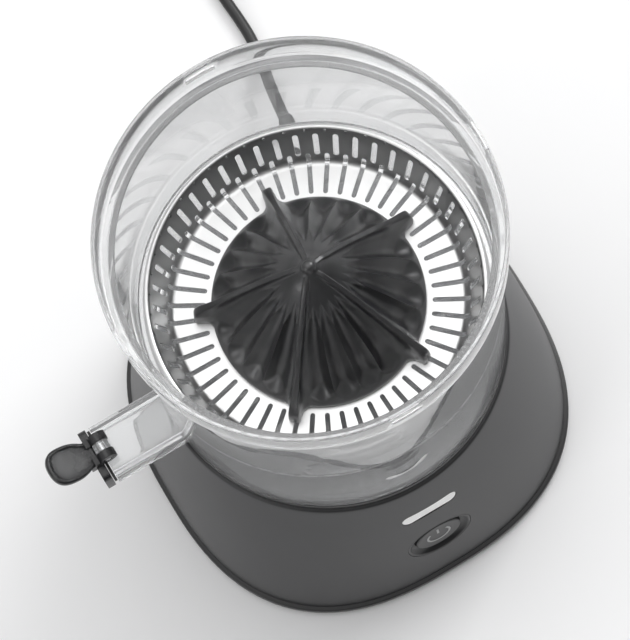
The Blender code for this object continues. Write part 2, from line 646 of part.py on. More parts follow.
# ---- controls -------------------------------------------------------------------
def build_controls():
    """Lens, dished bezel, push button, switch, indicator and the board behind them."""
    at, turn = front_place(LED_Z)
    prism("indicator_lens", stadium(LED_LENGTH, LED_HEIGHT, 6), -LED_DEPTH, -0.2 * MM, LIGHT,
          at, turn)

    at, turn = front_place(BUTTON_Z)
    hole = BUTTON_R + RUN
    profile = [(BEZEL_R, -BEZEL_DEPTH), (BEZEL_R, -0.6 * MM), (BEZEL_R - 1.2 * MM, -0.1 * MM),
               (hole + 0.8 * MM, -BEZEL_DISH), (hole, -BEZEL_DISH - 0.5 * MM),
               (hole, -BEZEL_DEPTH)]
    turned("button_bezel", profile, BLACK, 18, at, turn, closed=True)

    face = -BUTTON_SUNK
    back = face - BUTTON_T
    profile = [(BUTTON_R - EDGE, face), (BUTTON_R, face - SMALL_EDGE), (BUTTON_R, back),
               (STEM_R, back), (STEM_R, back - STEM_L)]
    turned("power_button", profile, BLACK, 18, at, turn)

    tip = back - STEM_L
    half = SWITCH_SIZE / 2
    switch_top = tip + SWITCH_WELL
    board_top = switch_top - SWITCH_T - GAP
    switch = box("switch", (-half, -half, switch_top - SWITCH_T), (half, half, switch_top),
                 BLACK, at, turn)
    well = turned("cut_switch", [(STEM_R + RUN, tip - BUTTON_TRAVEL - GAP),
                                 (STEM_R + RUN, switch_top + GAP)], BLACK, 12, at, turn)
    cut(switch, well)
    low = -SWITCH_SIZE
    box("control_board", (-BOARD_W / 2, low, board_top - BOARD_T),
        (BOARD_W / 2, low + BOARD_H, board_top), BOARD_GREEN, at, turn)
    half = LED_BLOCK / 2
    up = LED_Z - BUTTON_Z
    base = board_top + GAP
    box("indicator_led", (-half, up - half, base), (half, up + half, base + LED_BLOCK_T), LIGHT,
        at, turn)


# ---- bowl -----------------------------------------------------------------------
def build_bowl():
    """Clear bowl: stepped wall, strainer ledge, sloping floor, chimney and spout duct."""
    wall_top = BOWL_H - RIM_H
    top_r = BOWL_R + BOWL_DRAFT
    inner_top = top_r - BOWL_WALL
    inner_low = BOWL_R - BOWL_WALL
    floor_top = BOWL_FLOOR_Z + BOWL_FLOOR_T
    rise = BOWL_FLOOR_RISE
    chimney_top = STRAINER_FLOOR_Z - SHEET_T - GAP
    f = FLOOR_FILLET
    profile = [
        (BOWL_R, 0), (top_r, wall_top - RIM_STEP), (RIM_R - 0.3 * MM, wall_top + 0.3 * MM),
        (RIM_R, BOWL_H - 0.4 * MM), (RIM_R - 0.4 * MM, BOWL_H), (RIM_R - RIM_WALL, BOWL_H),
        (RIM_R - RIM_WALL - 0.1 * MM, wall_top), (inner_top, wall_top),
        (inner_low, SHELF_Z), (inner_low - SHELF_W, SHELF_Z),
        (inner_low - SHELF_W, SHELF_Z - SHELF_T), (inner_low, SHELF_Z - 2 * SHELF_T),
        (inner_low, floor_top + f), (inner_low - 0.3 * f, floor_top + 0.3 * f),
        (inner_low - f, floor_top), (CHIMNEY_R, floor_top + rise), (CHIMNEY_R, chimney_top),
        (CHIMNEY_BORE, chimney_top), (CHIMNEY_BORE, BOWL_FLOOR_Z + rise),
        (inner_low, BOWL_FLOOR_Z), (inner_low, 0)]
    bowl = turned("bowl", profile, CLEAR, 40, (0, 0, BOWL_Z), closed=True)

    half = SPOUT_W / 2
    root = -(BOWL_R - 1.2 * MM)
    duct = box("cut_duct", (MOUTH_X, -half, SPOUT_BOTTOM), (root, half, SPOUT_TOP), CLEAR,
               (0, 0, BOWL_Z))
    bevel_long_edges(duct, SPOUT_ROUND)
    cut(bowl, duct, "UNION")
    lug = hinge_disc("cut_lug", LUG_R, LUG_W / 2, -LUG_W / 2, CLEAR, foot=HINGE_UP + 1 * MM)
    cut(bowl, lug, "UNION")
    inner = half - SPOUT_WALL
    passage = box("cut_passage", (MOUTH_X - 4 * MM, -inner, floor_top),
                  (-(inner_low - 2.2 * f), inner, SPOUT_TOP - SPOUT_WALL), CLEAR, (0, 0, BOWL_Z))
    cut(bowl, passage)
    pin_hole = hinge_disc("cut_pin_hole", PIN_R + RUN, LUG_W, -LUG_W, CLEAR)
    cut(bowl, pin_hole)
    window_z = BOWL_H - RIM_H / 2
    for i in range(4):
        turn = Matrix.Rotation(math.pi / 2 * i, 3, "Z")
        window = box(f"cut_window_{i}", (RIM_R - 4 * MM, -WINDOW_L / 2, -WINDOW_H / 2),
                     (RIM_R + 4 * MM, WINDOW_L / 2, WINDOW_H / 2), CLEAR,
                     (0, 0, BOWL_Z + window_z), turn)
        cut(bowl, window)


def bevel_long_edges(obj, width):
    """Rounds a block's edges that run along X."""
    bm = bmesh.new()
    bm.from_mesh(obj.data)
    edges = [e for e in bm.edges if abs((e.verts[0].co - e.verts[1].co).x) > 5 * MM]
    bmesh.ops.bevel(bm, geom=edges, offset=width, segments=3, affect="EDGES", profile=0.5)
    bmesh.ops.recalc_face_normals(bm, faces=bm.faces)
    bm.to_mesh(obj.data)
    bm.free()


def hinge_disc(name, radius, high, low, material, foot=0.0, sides=14):
    """A disc on the flap's hinge axis, with an optional foot reaching straight down."""
    points = []
    for i in range(sides):
        a = 2 * math.pi * i / sides
        points.append((radius * math.cos(a), radius * math.sin(a)))
    if foot:
        points = [p for p in points if p[1] >= -1e-9]
        points += [(-HINGE_BACK, -foot), (radius, -foot)]
    turn = Matrix(((1, 0, 0), (0, 0, -1), (0, 1, 0)))
    return prism(name, points, low, high, material, HINGE, turn)


def build_flap():
    """Drip-stop flap: plate, two ears on the hinge and the thumb paddle, with its seal."""
    half = SPOUT_W / 2
    top = HINGE.z - FLAP_CLEAR_R - 0.3 * MM
    low = BOWL_Z + SPOUT_BOTTOM - 0.6 * MM
    flap = box("spout_flap", (FLAP_X - FLAP_T, -half, low), (FLAP_X, half, top), BLACK)
    for i, side in enumerate((-1, 1)):
        near = LUG_W / 2 + GAP
        far = near + EAR_W
        span = sorted((side * near, side * far))
        ear = hinge_disc(f"cut_ear_{i}", EAR_R, span[1], span[0], BLACK)
        cut(flap, ear, "UNION")
        arm = box(f"cut_arm_{i}", (FLAP_X - FLAP_T + 0.2 * MM, span[0], HINGE.z - EAR_R * 0.8),
                  (HINGE.x, span[1], HINGE.z + 1.2 * MM), BLACK)
        cut(flap, arm, "UNION")
        riser = box(f"cut_riser_{i}",
                    (FLAP_X - FLAP_T + 0.4 * MM, span[0] + 0.1 * MM, top - 2 * MM),
                    (FLAP_X - 0.2 * MM, span[1] - 0.1 * MM, HINGE.z), BLACK)
        cut(flap, riser, "UNION")
    bore = hinge_disc("cut_ear_bore", PIN_R + RUN, half, -half, BLACK)
    cut(flap, bore)

    width = PADDLE_W / 2
    corner = PADDLE_CORNER
    outline = [(0, -width * 0.72), (0, width * 0.72)]
    for cx, cy, start in ((-(PADDLE_L - corner), width - corner, 90),
                          (-(PADDLE_L - corner), -(width - corner), 180)):
        for k in range(5):
            a = math.radians(start + 90 * k / 4)
            outline.append((cx + corner * math.cos(a), cy + corner * math.sin(a)))
    turn = Matrix.Rotation(PADDLE_RISE, 3, "Y")
    place = Vector((HINGE.x - FLAP_CLEAR_R, 0, HINGE.z - PADDLE_T))
    paddle = prism("cut_paddle", outline, 0, PADDLE_T, BLACK, place, turn)
    cut(flap, paddle, "UNION")
    bridge = box("cut_bridge", (HINGE.x - FLAP_CLEAR_R - FLAP_T, -width * 0.7, top - 1 * MM),
                 (HINGE.x - FLAP_CLEAR_R, width * 0.7, HINGE.z - 0.4 * MM), BLACK)
    cut(flap, bridge, "UNION")

    inner = half - 1.2 * MM
    box("flap_seal", (FLAP_X + GAP, -inner, BOWL_Z + SPOUT_BOTTOM + 1 * MM),
        (FLAP_X + GAP + SEAL_T, inner, BOWL_Z + SPOUT_TOP - 1 * MM), RUBBER)
    reach = LUG_W / 2 + GAP + EAR_W
    hinge_disc("flap_pin", PIN_R, reach, -reach, STEEL, sides=10)


# ---- strainer -------------------------------------------------------------------
def slot_angles(width, radius, shift):
    """Both edges of every slot, in order, for slots of one width at one radius."""
    pitch = 2 * math.pi / SLOT_COUNT
    half = width / radius / 2
    return [SLOT_PHASE + pitch * (i + shift) + side * half
            for i in range(SLOT_COUNT) for side in (-1, 1)]


def build_strainer():
    """Pressed sheet with radial slots in its floor and upright slots in its wall."""
    corner_r = FLOOR_R - FLOOR_CORNER
    floor_slots = slot_angles(FLOOR_SLOT_W, (SLOT_IN_R + corner_r) / 2, 0.0)
    wall_slots = slot_angles(WALL_SLOT_W, (FLOOR_R + STRAINER_RIM_IN_R) / 2, 0.5)
    rise = (STRAINER_RIM_Z - STRAINER_FLOOR_Z) / (STRAINER_RIM_IN_R - FLOOR_R)
    wall_low = FLOOR_R + FLOOR_CORNER
    wall_high = STRAINER_RIM_IN_R - 1.8 * MM
    z = STRAINER_FLOOR_Z
    lip = SHELF_Z + GAP
    rim = STRAINER_RIM_R
    t = SHEET_T
    top = [(STRAINER_BORE, z, floor_slots), (SLOT_IN_R, z, floor_slots),
           (corner_r, z, floor_slots), (wall_low, z + (wall_low - FLOOR_R) * rise, wall_slots),
           (wall_high, z + (wall_high - FLOOR_R) * rise, wall_slots),
           (STRAINER_RIM_IN_R + t, STRAINER_RIM_Z + t, wall_slots), (rim, lip, wall_slots)]
    bottom = [(rim - t, lip, wall_slots),
              (STRAINER_RIM_IN_R + t, STRAINER_RIM_Z - t, wall_slots),
              (wall_high + t, z + (wall_high - FLOOR_R) * rise - 0.3 * t, wall_slots),
              (wall_low + t, z + (wall_low - FLOOR_R) * rise - 0.3 * t, wall_slots),
              (corner_r, z - t, floor_slots), (SLOT_IN_R, z - t, floor_slots),
              (STRAINER_BORE, z - t, floor_slots)]
    bm = bmesh.new()
    loops = []
    for r, height, angles in top + bottom:
        loops.append([bm.verts.new((r * math.cos(a), r * math.sin(a), height)) for a in angles])
    count = 2 * SLOT_COUNT
    floor_band = {1, 11}
    wall_band = {3, 9}
    hole_ends = {1: 12, 2: 11, 3: 10, 4: 9}
    for k in range(len(loops)):
        low, high = loops[k], loops[(k + 1) % len(loops)]
        shift = -1 if k == 2 else (1 if k == 10 else 0)
        for i in range(count):
            j = (i + 1) % count
            is_slot = i % 2 == 0
            if is_slot and (k in floor_band or k in wall_band):
                continue
            a, b = (i + shift) % count, (j + shift) % count
            bm.faces.new((low[i], low[j], high[b], high[a]))
    for inner, outer in ((1, 2), (3, 4)):
        under_inner, under_outer = loops[hole_ends[inner]], loops[hole_ends[outer]]
        over_inner, over_outer = loops[inner], loops[outer]
        for i in range(0, count, 2):
            j = i + 1
            corners = [(over_inner[i], under_inner[i]), (over_inner[j], under_inner[j]),
                       (over_outer[j], under_outer[j]), (over_outer[i], under_outer[i])]
            for (a, b), (c, d) in zip(corners, corners[1:] + corners[:1]):
                bm.faces.new((a, b, d, c))
    add_object("strainer", bm, STEEL, (0, 0, BOWL_Z))


# ---- reamer ---------------------------------------------------------------------
def build_reamer():
    """Hollow fluted cone with five cutting fins and a hexagonal drive socket."""
    body = [(1.0, REAMER_SKIRT), (0.93, 7 * MM), (0.80, 16 * MM), (0.62, 26 * MM),
            (0.42, 36 * MM), (0.22, 44 * MM), (0.10, REAMER_H - 4.0 * MM)]
    crest = [FIN_END_R, FIN_END_R - 1.0 * MM]
    crest += [REAMER_R * share for share in (0.9375, 0.742, 0.508, 0.2865, 0.1406)]
    sector = 2 * math.pi / FIN_COUNT
    lobes = 7
    rings = []
    for level, (share, z) in enumerate([(1.0, 0.0)] + body):
        r = REAMER_R * share
        fade = 0.0 if level < 2 else min(1.0, (len(body) + 1 - level) / 3)
        ring = []
        for s in range(FIN_COUNT):
            middle = FIN_PHASE + sector * s
            foot = FIN_W / max(r, 2 * FIN_W)
            tip_r = crest[max(level - 1, 0)]
            ring += [(r, middle - foot), (tip_r, middle - foot * 0.3), (tip_r, middle + foot * 0.3),
                     (r, middle + foot)]
            for k in range(lobes):
                a = middle + foot + (sector - 2 * foot) * (k + 1) / (lobes + 1)
                deep = FLUTE_DEPTH * fade if k % 2 == 0 else 0.0
                ring.append((r * (1 - deep), a))
        rings.append([(q * math.cos(a), q * math.sin(a), z) for q, a in ring])
    knob = KNOB_R / (REAMER_R * body[-1][0])
    for share, z in ((knob, REAMER_H - 2.4 * MM), (knob * 0.6, REAMER_H)):
        r = REAMER_R * body[-1][0] * share
        rings.append([(r * math.cos(math.atan2(y, x)), r * math.sin(math.atan2(y, x)), z)
                      for x, y, _ in rings[-1]])
    bm = bmesh.new()
    skin_rings(bm, rings, False)
    reamer = add_object("reamer", bm, CHARCOAL, (0, 0, REAMER_Z), sharp=50)

    post = SOCKET_R + GAP + POST_WALL
    w = REAMER_WALL
    hollow_top = SOCKET_TOP + 1 * MM
    profile = [(REAMER_R - w, -1 * MM), (REAMER_R * 0.86 - w, 0.25 * SOCKET_TOP),
               (REAMER_R * 0.56 - w, 0.78 * SOCKET_TOP), (post + 0.6 * MM, hollow_top),
               (post, hollow_top), (post, -1 * MM)]
    hollow = turned("cut_hollow", profile, CHARCOAL, 24, (0, 0, REAMER_Z), closed=True)
    cut(reamer, hollow)
    bore = turned("cut_socket", [(SOCKET_R + GAP, -1 * MM), (SOCKET_R + GAP, SOCKET_TOP)],
                  CHARCOAL, 16, (0, 0, REAMER_Z))
    cut(reamer, bore)

    sleeve = turned("drive_socket", [(SOCKET_R, 1 * MM), (SOCKET_R, 1 * MM + SOCKET_L)],
                    STEEL, 16, (0, 0, REAMER_Z))
    hex_hole = turned("cut_hex", [(SHAFT_R + RUN, 0), (SHAFT_R + RUN, 2 * SOCKET_L)], STEEL, 6,
                      (0, 0, REAMER_Z))
    cut(sleeve, hex_hole)


# ---- mains lead -----------------------------------------------------------------
LEAD_ROUTE = [(34.5, 106.0, 18.0), (34.8, 110.0, 17.7), (35.4, 115.0, 15.6), (36.3, 121.0, 11.4),
              (37.4, 127.0, 7.2), (38.9, 133.5, 4.1), (40.4, 141.0, 2.6), (41.3, 149.0, 2.35),
              (41.2, 158.0, 2.35), (40.6, 168.0, 2.35), (40.6, 178.0, 2.35), (41.2, 187.3, 2.35)]
TAIL_ROUTE = [(86.3, 232.6, 3.5), (90.0, 232.6, 2.6), (94.0, 232.6, 2.7), (98.0, 232.6, 3.6),
              (102.0, 232.6, 4.7), (106.0, 232.6, 5.5), (109.0, 232.6, 5.7), (111.5, 232.6, 5.7)]


def smooth_route(points, per_span=3):
    """Points of a Catmull-Rom curve through the route's own points."""
    pts = [Vector(p) * MM for p in points]
    ends = [pts[0] * 2 - pts[1]] + pts + [pts[-1] * 2 - pts[-2]]
    out = []
    for a, b, c, d in zip(ends, ends[1:], ends[2:], ends[3:]):
        for k in range(per_span):
            t = k / per_span
            out.append(0.5 * (2 * b + (c - a) * t + (2 * a - 5 * b + 4 * c - d) * t * t
                              + (3 * b - a - 3 * c + d) * t ** 3))
    return out + [pts[-1]]


def tube(name, points, radius, material):
    """A cord: one open spline with a round bevel and filled ends."""
    curve = bpy.data.curves.new(name, "CURVE")
    curve.dimensions = "3D"
    curve.bevel_depth = radius
    curve.bevel_resolution = 2
    curve.use_fill_caps = True
    spline = curve.splines.new("POLY")
    spline.points.add(len(points) - 1)
    for target, point in zip(spline.points, points):
        target.co = (*point, 1.0)
    curve.materials.append(material)
    obj = bpy.data.objects.new(name, curve)
    bpy.context.collection.objects.link(obj)
    obj.parent = scene_root
    return obj


def build_lead():
    """Strain relief, cord clamp, the lead's free stretch, its coil, tail and plug."""
    along = Matrix.Rotation(-math.pi / 2, 3, "X")
    route = smooth_route(LEAD_ROUTE, 2)
    start = route[0].y - GAP - RELIEF_L
    inside = 14.0 * MM
    profile = [(RELIEF_ROOT_R, -inside), (RELIEF_ROOT_R, RELIEF_L * 0.15),
               (CORD_R + 1.0 * MM, RELIEF_L - 2 * MM), (CORD_R + 0.7 * MM, RELIEF_L)]
    turned("strain_relief", profile, RUBBER, 12, (EXIT_X, start, EXIT_Z), along)
    tube("lead", route, CORD_R, RUBBER)

    inner, outer = COIL_R - COIL_W / 2, COIL_R + COIL_W / 2
    turned("lead_coil", [(outer, 0), (outer, COIL_H), (inner, COIL_H), (inner, 0)], RUBBER, 28,
           (*COIL_AT, 0.0), closed=True)
    tail = smooth_route(TAIL_ROUTE, 1)
    tube("lead_tail", tail, CORD_R, RUBBER)

    turn = Matrix.Rotation(math.pi / 2, 3, "Y")
    at = (tail[-1].x + GAP, tail[-1].y, tail[-1].z)
    nose = PLUG_L
    thick, wide = PLUG_T / 2, PLUG_W / 2
    sections = [(0.0, CORD_R + 0.8 * MM, CORD_R + 0.8 * MM), (8 * MM, 3.4 * MM, 4.2 * MM),
                (11 * MM, thick * 0.8, wide * 0.7), (16 * MM, thick, wide), (nose, thick, wide)]
    bm = bmesh.new()
    skin_rings(bm, [[(a * math.cos(t), b * math.sin(t), z) for t in
                     [2 * math.pi * k / 16 for k in range(16)]] for z, a, b in sections], False)
    add_object("plug", bm, RUBBER, at, turn)
    for i, side in enumerate((-1, 1)):
        turned(f"plug_prong_{i + 1}", [(PRONG_R, nose + GAP), (PRONG_R, nose + PRONG_L - 1 * MM),
                                       (PRONG_R * 0.6, nose + PRONG_L)], BRASS, 10,
               (at[0], at[1] + side * min(PRONG_PITCH, wide - 2.6 * MM), at[2]), turn)


# ---- assembly -------------------------------------------------------------------
build_base_fasteners(build_base_plate())
build_housing()
build_deck()
build_gear_case()
build_gears()
build_motor()
build_shaft()
build_controls()
build_bowl()
build_flap()
build_strainer()
build_reamer()
build_lead()
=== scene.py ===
"""Looks of the citrus press juicer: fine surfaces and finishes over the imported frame.

The front is -Y, the spout points to -X, the lead leaves at +Y.  Shapes are drawn in
millimetres about the drive axis, and shifted onto it in metres when the mesh is made.
"""
import math

import bmesh
import bpy
import numpy as np
from mathutils import Matrix, Vector


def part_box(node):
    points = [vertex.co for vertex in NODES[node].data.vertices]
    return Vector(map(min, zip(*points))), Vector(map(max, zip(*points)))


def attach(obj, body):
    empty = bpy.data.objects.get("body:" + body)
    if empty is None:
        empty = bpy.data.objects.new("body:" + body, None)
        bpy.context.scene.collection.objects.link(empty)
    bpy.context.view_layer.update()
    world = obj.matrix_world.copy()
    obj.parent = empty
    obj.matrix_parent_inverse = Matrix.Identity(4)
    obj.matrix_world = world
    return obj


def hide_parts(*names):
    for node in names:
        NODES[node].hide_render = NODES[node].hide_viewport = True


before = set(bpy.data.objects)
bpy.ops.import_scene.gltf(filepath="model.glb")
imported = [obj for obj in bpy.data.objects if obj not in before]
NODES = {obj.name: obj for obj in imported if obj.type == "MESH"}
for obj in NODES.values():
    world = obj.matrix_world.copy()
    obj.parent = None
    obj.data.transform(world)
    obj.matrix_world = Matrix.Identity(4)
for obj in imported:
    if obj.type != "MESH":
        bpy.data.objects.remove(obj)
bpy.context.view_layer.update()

MM = 0.001
TAU = 2 * math.pi
LOW, HIGH = 0, 1                                # a box's two corners
X, Y, Z = 0, 1, 2
shaft_low, shaft_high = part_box("drive_shaft")
AXIS_X = (shaft_low.x + shaft_high.x) / 2


def edge(node, corner, axis):
    """One side of a node's box, in millimetres from the drive axis or the floor."""
    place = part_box(node)[corner][axis] - (AXIS_X if axis == X else 0.0)
    return round(place / MM, 2)


# ---- camera ----
VIEW_FROM = (-0.08093, -0.32569, 1.44000)       # seen from the drive axis at floor level
VIEW_RIGHT = Vector((0.86190, -0.50167, -0.07391)).normalized()
VIEW_AHEAD = Vector((0.05750, 0.24150, -0.96869)).normalized()
LENS, SENSOR = 210.0, 36.0

camera_data = bpy.data.cameras.new("studio_camera")
camera_data.lens = LENS
camera_data.sensor_width = SENSOR
camera = bpy.data.objects.new("studio_camera", camera_data)
bpy.context.collection.objects.link(camera)
view_back = -VIEW_AHEAD
view_up = view_back.cross(VIEW_RIGHT).normalized()
view_side = view_up.cross(view_back)
camera.matrix_world = Matrix.Translation(Vector(VIEW_FROM) + Vector((AXIS_X, 0, 0))) @ Matrix(
    (view_side, view_up, view_back)).transposed().to_4x4()
bpy.context.scene.camera = camera


# ---- shader kit ----
MIX_SHARE, MIX_FIRST, MIX_SECOND, MIX_RESULT = 0, 6, 7, 2     # a Mix node's colour sockets


class Wire:
    """A number that runs through a material; arithmetic on it adds Math nodes."""

    def __init__(self, finish, socket):
        self.finish = finish
        self.socket = socket

    def math(self, operation, *others):
        node = self.finish.node("ShaderNodeMath", {"operation": operation},
                                dict(enumerate(others)))
        return Wire(self.finish, node.outputs[0])

    def __add__(self, other):
        return self.math("ADD", self, other)

    __radd__ = __add__

    def __sub__(self, other):
        return self.math("SUBTRACT", self, other)

    def __rsub__(self, other):
        return self.math("SUBTRACT", other, self)

    def __mul__(self, other):
        return self.math("MULTIPLY", self, other)

    __rmul__ = __mul__

    def between(self, low, high):
        """0 below low, 1 above high, eased between them."""
        node = self.finish.node("ShaderNodeMapRange", {"interpolation_type": "SMOOTHSTEP"},
                                {"Value": self, "From Min": low, "From Max": high})
        return Wire(self.finish, node.outputs[0])


class Finish:
    """One procedural material on a Principled shader, patterned in object coordinates."""

    def __init__(self, name, **fixed):
        self.material = bpy.data.materials.new(name)
        self.material.use_nodes = True
        self.tree = self.material.node_tree
        self.shader = self.tree.nodes["Principled BSDF"]
        self.coords = self.node("ShaderNodeTexCoord").outputs["Object"]
        for key, value in fixed.items():
            self.put(self.shader, key.replace("_", " "), value)

    def put(self, node, key, value):
        """Sets or links one input."""
        socket = node.inputs[key]
        if isinstance(value, Wire):
            value = value.socket
        if isinstance(value, bpy.types.NodeSocket):
            self.tree.links.new(value, socket)
        elif isinstance(value, tuple) and socket.type == "RGBA" and len(value) == 3:
            socket.default_value = (*value, 1.0)
        else:
            socket.default_value = value

    def node(self, kind, settings=None, inputs=None):
        """Any node: its settings first, then the values or links of its inputs."""
        node = self.tree.nodes.new(kind)
        for key, value in (settings or {}).items():
            setattr(node, key, value)
        for key, value in (inputs or {}).items():
            self.put(node, key, value)
        return node

    def stretched(self, scale):
        """Object coordinates scaled along each axis by a Mapping node."""
        return self.node("ShaderNodeMapping", {}, {"Vector": self.coords,
                                                   "Scale": scale}).outputs[0]

    def noise(self, scale, detail=2.0, rough=0.5, at=None):
        """Noise value, 0 to 1, with lumps of about 1/scale metres."""
        node = self.node("ShaderNodeTexNoise", {}, {
            "Vector": at or self.coords, "Scale": scale, "Detail": detail,
            "Roughness": rough})
        return Wire(self, node.outputs[0])

    def tint(self, share, dark, light):
        """A colour between dark and light, by a share from 0 to 1."""
        node = self.node("ShaderNodeMix", {"data_type": "RGBA"},
                         {MIX_SHARE: share, MIX_FIRST: dark, MIX_SECOND: light})
        return node.outputs[MIX_RESULT]

    def bump(self, height, strength, distance):
        """Feeds the shader's Normal from a height in metres times distance."""
        node = self.node("ShaderNodeBump", {}, {
            "Strength": strength, "Distance": distance, "Height": height})
        self.put(self.shader, "Normal", node.outputs[0])


def moulded(name, dark, light, rough, spread=0.06, grain=2600.0, grain_depth=0.25, **fixed):
    """Moulded plastic or rubber: cloudy colour, uneven gloss and a fine spark grain."""
    finish = Finish(name, **fixed)
    cloud = finish.noise(38.0, 3.0)
    fine = finish.noise(grain, 2.0, 0.6)
    finish.put(finish.shader, "Base Color", finish.tint(cloud.between(0.3, 0.7), dark, light))
    finish.put(finish.shader, "Roughness", rough + (cloud - 0.5) * spread + (fine - 0.5) * spread)
    finish.bump(fine, grain_depth, 0.00006)
    return finish.material


def metal(name, dark, light, rough, spread=0.1, brush=(40, 900, 40), depth=0.15, **fixed):
    """Metal with fine brushed lines, clouded by handling."""
    finish = Finish(name, Metallic=1.0, **fixed)
    lines = finish.noise(6.0, 4.0, 0.7, finish.stretched(brush))
    cloud = finish.noise(55.0, 3.0)
    finish.put(finish.shader, "Base Color", finish.tint(cloud.between(0.25, 0.75), dark, light))
    finish.put(finish.shader, "Roughness", rough + (lines - 0.5) * spread + (cloud - 0.5) * spread)
    finish.bump(lines, depth, 0.00002)
    return finish.material


def clear_plastic(name):
    """Clear moulded plastic: faint grey body, soft ripples, and light passes to what is inside."""
    finish = Finish(name, Transmission_Weight=0.89, IOR=1.46)
    ripple = finish.noise(26.0, 2.0)
    smear = finish.noise(70.0, 4.0, 0.6)
    finish.put(finish.shader, "Base Color",
               finish.tint(ripple, (0.925, 0.929, 0.933), (0.95, 0.953, 0.956)))
    finish.put(finish.shader, "Roughness", 0.012 + smear.between(0.52, 0.8) * 0.05)
    finish.bump(ripple, 0.12, 0.0004)
    pass_light = finish.node("ShaderNodeBsdfTransparent", {}, {"Color": (0.80, 0.805, 0.81)})
    rays = finish.node("ShaderNodeLightPath")
    mix = finish.node("ShaderNodeMixShader", {}, {
        0: rays.outputs["Is Shadow Ray"], 1: finish.shader.outputs[0],
        2: pass_light.outputs[0]})
    output = finish.tree.nodes["Material Output"]
    finish.tree.links.new(mix.outputs[0], output.inputs["Surface"])
    return finish.material


CLEAR = clear_plastic("clear_plastic_moulded")
SATIN_GREY = moulded("satin_grey_shell", (0.017, 0.017, 0.018), (0.024, 0.024, 0.026), 0.42,
                     Specular_IOR_Level=0.5)
BLACK = moulded("black_moulding", (0.010, 0.010, 0.011), (0.016, 0.016, 0.017), 0.36)
GLOSS_BLACK = moulded("black_flap_plastic", (0.010, 0.010, 0.011), (0.015, 0.015, 0.016), 0.27,
                      spread=0.02, grain_depth=0.03)
CHARCOAL = moulded("charcoal_reamer_plastic", (0.009, 0.009, 0.010), (0.016, 0.016, 0.017),
                   0.30, spread=0.03, grain_depth=0.05, Specular_IOR_Level=0.8)
RUBBER = moulded("soft_rubber", (0.012, 0.012, 0.012), (0.022, 0.022, 0.022), 0.62,
                 grain=3400.0, grain_depth=0.4)
CORD_BLACK = moulded("cord_jacket", (0.010, 0.010, 0.011), (0.018, 0.018, 0.018), 0.45,
                     grain=1800.0, grain_depth=0.3)
GEAR_WHITE = moulded("gear_acetal", (0.70, 0.69, 0.63), (0.80, 0.79, 0.74), 0.42)
STEEL = metal("strainer_steel", (0.60, 0.60, 0.60), (0.66, 0.66, 0.66), 0.33, spread=0.02,
              brush=(90, 500, 90), depth=0.01)
BRIGHT_STEEL = metal("bright_steel", (0.55, 0.55, 0.56), (0.68, 0.68, 0.69), 0.22)
BRASS = metal("machined_brass", (0.62, 0.43, 0.17), (0.76, 0.56, 0.26), 0.26)
IRON = metal("motor_steel", (0.22, 0.22, 0.23), (0.33, 0.33, 0.34), 0.42)
BOARD_GREEN = moulded("board_laminate", (0.02, 0.13, 0.06), (0.04, 0.20, 0.09), 0.45)


def lit_lens(name):
    """Milky indicator plastic: white, softly lit from behind, the glow clouded like its colour."""
    finish = Finish(name, Emission_Strength=1.0)
    cloud = finish.noise(160.0, 3.0)
    finish.put(finish.shader, "Base Color",
               finish.tint(cloud, (0.74, 0.74, 0.73), (0.82, 0.82, 0.81)))
    finish.put(finish.shader, "Roughness", 0.34 + cloud * 0.12)
    finish.put(finish.shader, "Emission Color",
               finish.tint(cloud, (0.15, 0.15, 0.15), (0.20, 0.20, 0.20)))
    finish.bump(finish.noise(2400.0), 0.15, 0.00005)
    return finish.material


LENS_WHITE = lit_lens("milky_lens")
MARK_GREY = moulded("printed_mark", (0.36, 0.36, 0.36), (0.46, 0.46, 0.46), 0.5)


# ---- mesh kit ----
def quads(rows, cols, wrap_rows=False, wrap_cols=True):
    """Corner numbers of every cell of a grid whose points are numbered row by row."""
    i = np.arange(rows if wrap_rows else rows - 1)[:, None]
    j = np.arange(cols if wrap_cols else cols - 1)[None, :]
    below, beside = (i + 1) % rows, (j + 1) % cols
    cells = [i * cols + j, i * cols + beside, below * cols + beside, below * cols + j]
    return np.stack(cells, axis=-1).reshape(-1, 4)


def new_object(name, points, faces, merge=0.0):
    """A mesh object from points about the drive axis, its poles merged, faces outwards."""
    mesh = bpy.data.meshes.new(name)
    flat = np.asarray(points, dtype=float).reshape(-1, 3) + (AXIS_X, 0.0, 0.0)
    mesh.from_pydata(flat.tolist(), [], [list(f) for f in faces])
    bm = bmesh.new()
    bm.from_mesh(mesh)
    if merge:
        bmesh.ops.remove_doubles(bm, verts=bm.verts, dist=merge)
        bmesh.ops.dissolve_degenerate(bm, edges=bm.edges, dist=merge)
    bmesh.ops.recalc_face_normals(bm, faces=bm.faces)
    bm.to_mesh(mesh)
    bm.free()
    obj = bpy.data.objects.new(name, mesh)
    bpy.context.collection.objects.link(obj)
    return obj


def finish_piece(obj, material, body, nodes, sharp):
    """Smooths, dresses and declares a piece; edges over the sharp angle stay crisp."""
    obj.data.materials.clear()
    obj.data.materials.append(material)
    obj.data.shade_smooth()
    obj.data.set_sharp_from_angle(angle=math.radians(sharp))
    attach(obj, body)
    if nodes:
        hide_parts(*nodes)
    return obj


def worked_in(obj):
    """Makes the modifiers part of the mesh."""
    bpy.context.view_layer.update()
    depsgraph = bpy.context.evaluated_depsgraph_get()
    mesh = bpy.data.meshes.new_from_object(obj.evaluated_get(depsgraph))
    obj.modifiers.clear()
    obj.data = mesh


def combined(obj, tools):
    """Carries out a list of (tool, operation) Booleans and removes the tools."""
    for tool, operation in tools:
        modifier = obj.modifiers.new(tool.name, "BOOLEAN")
        modifier.operation = operation
        modifier.solver = "EXACT"
        modifier.object = tool
    worked_in(obj)
    for tool, _ in tools:
        bpy.data.objects.remove(tool, do_unlink=True)


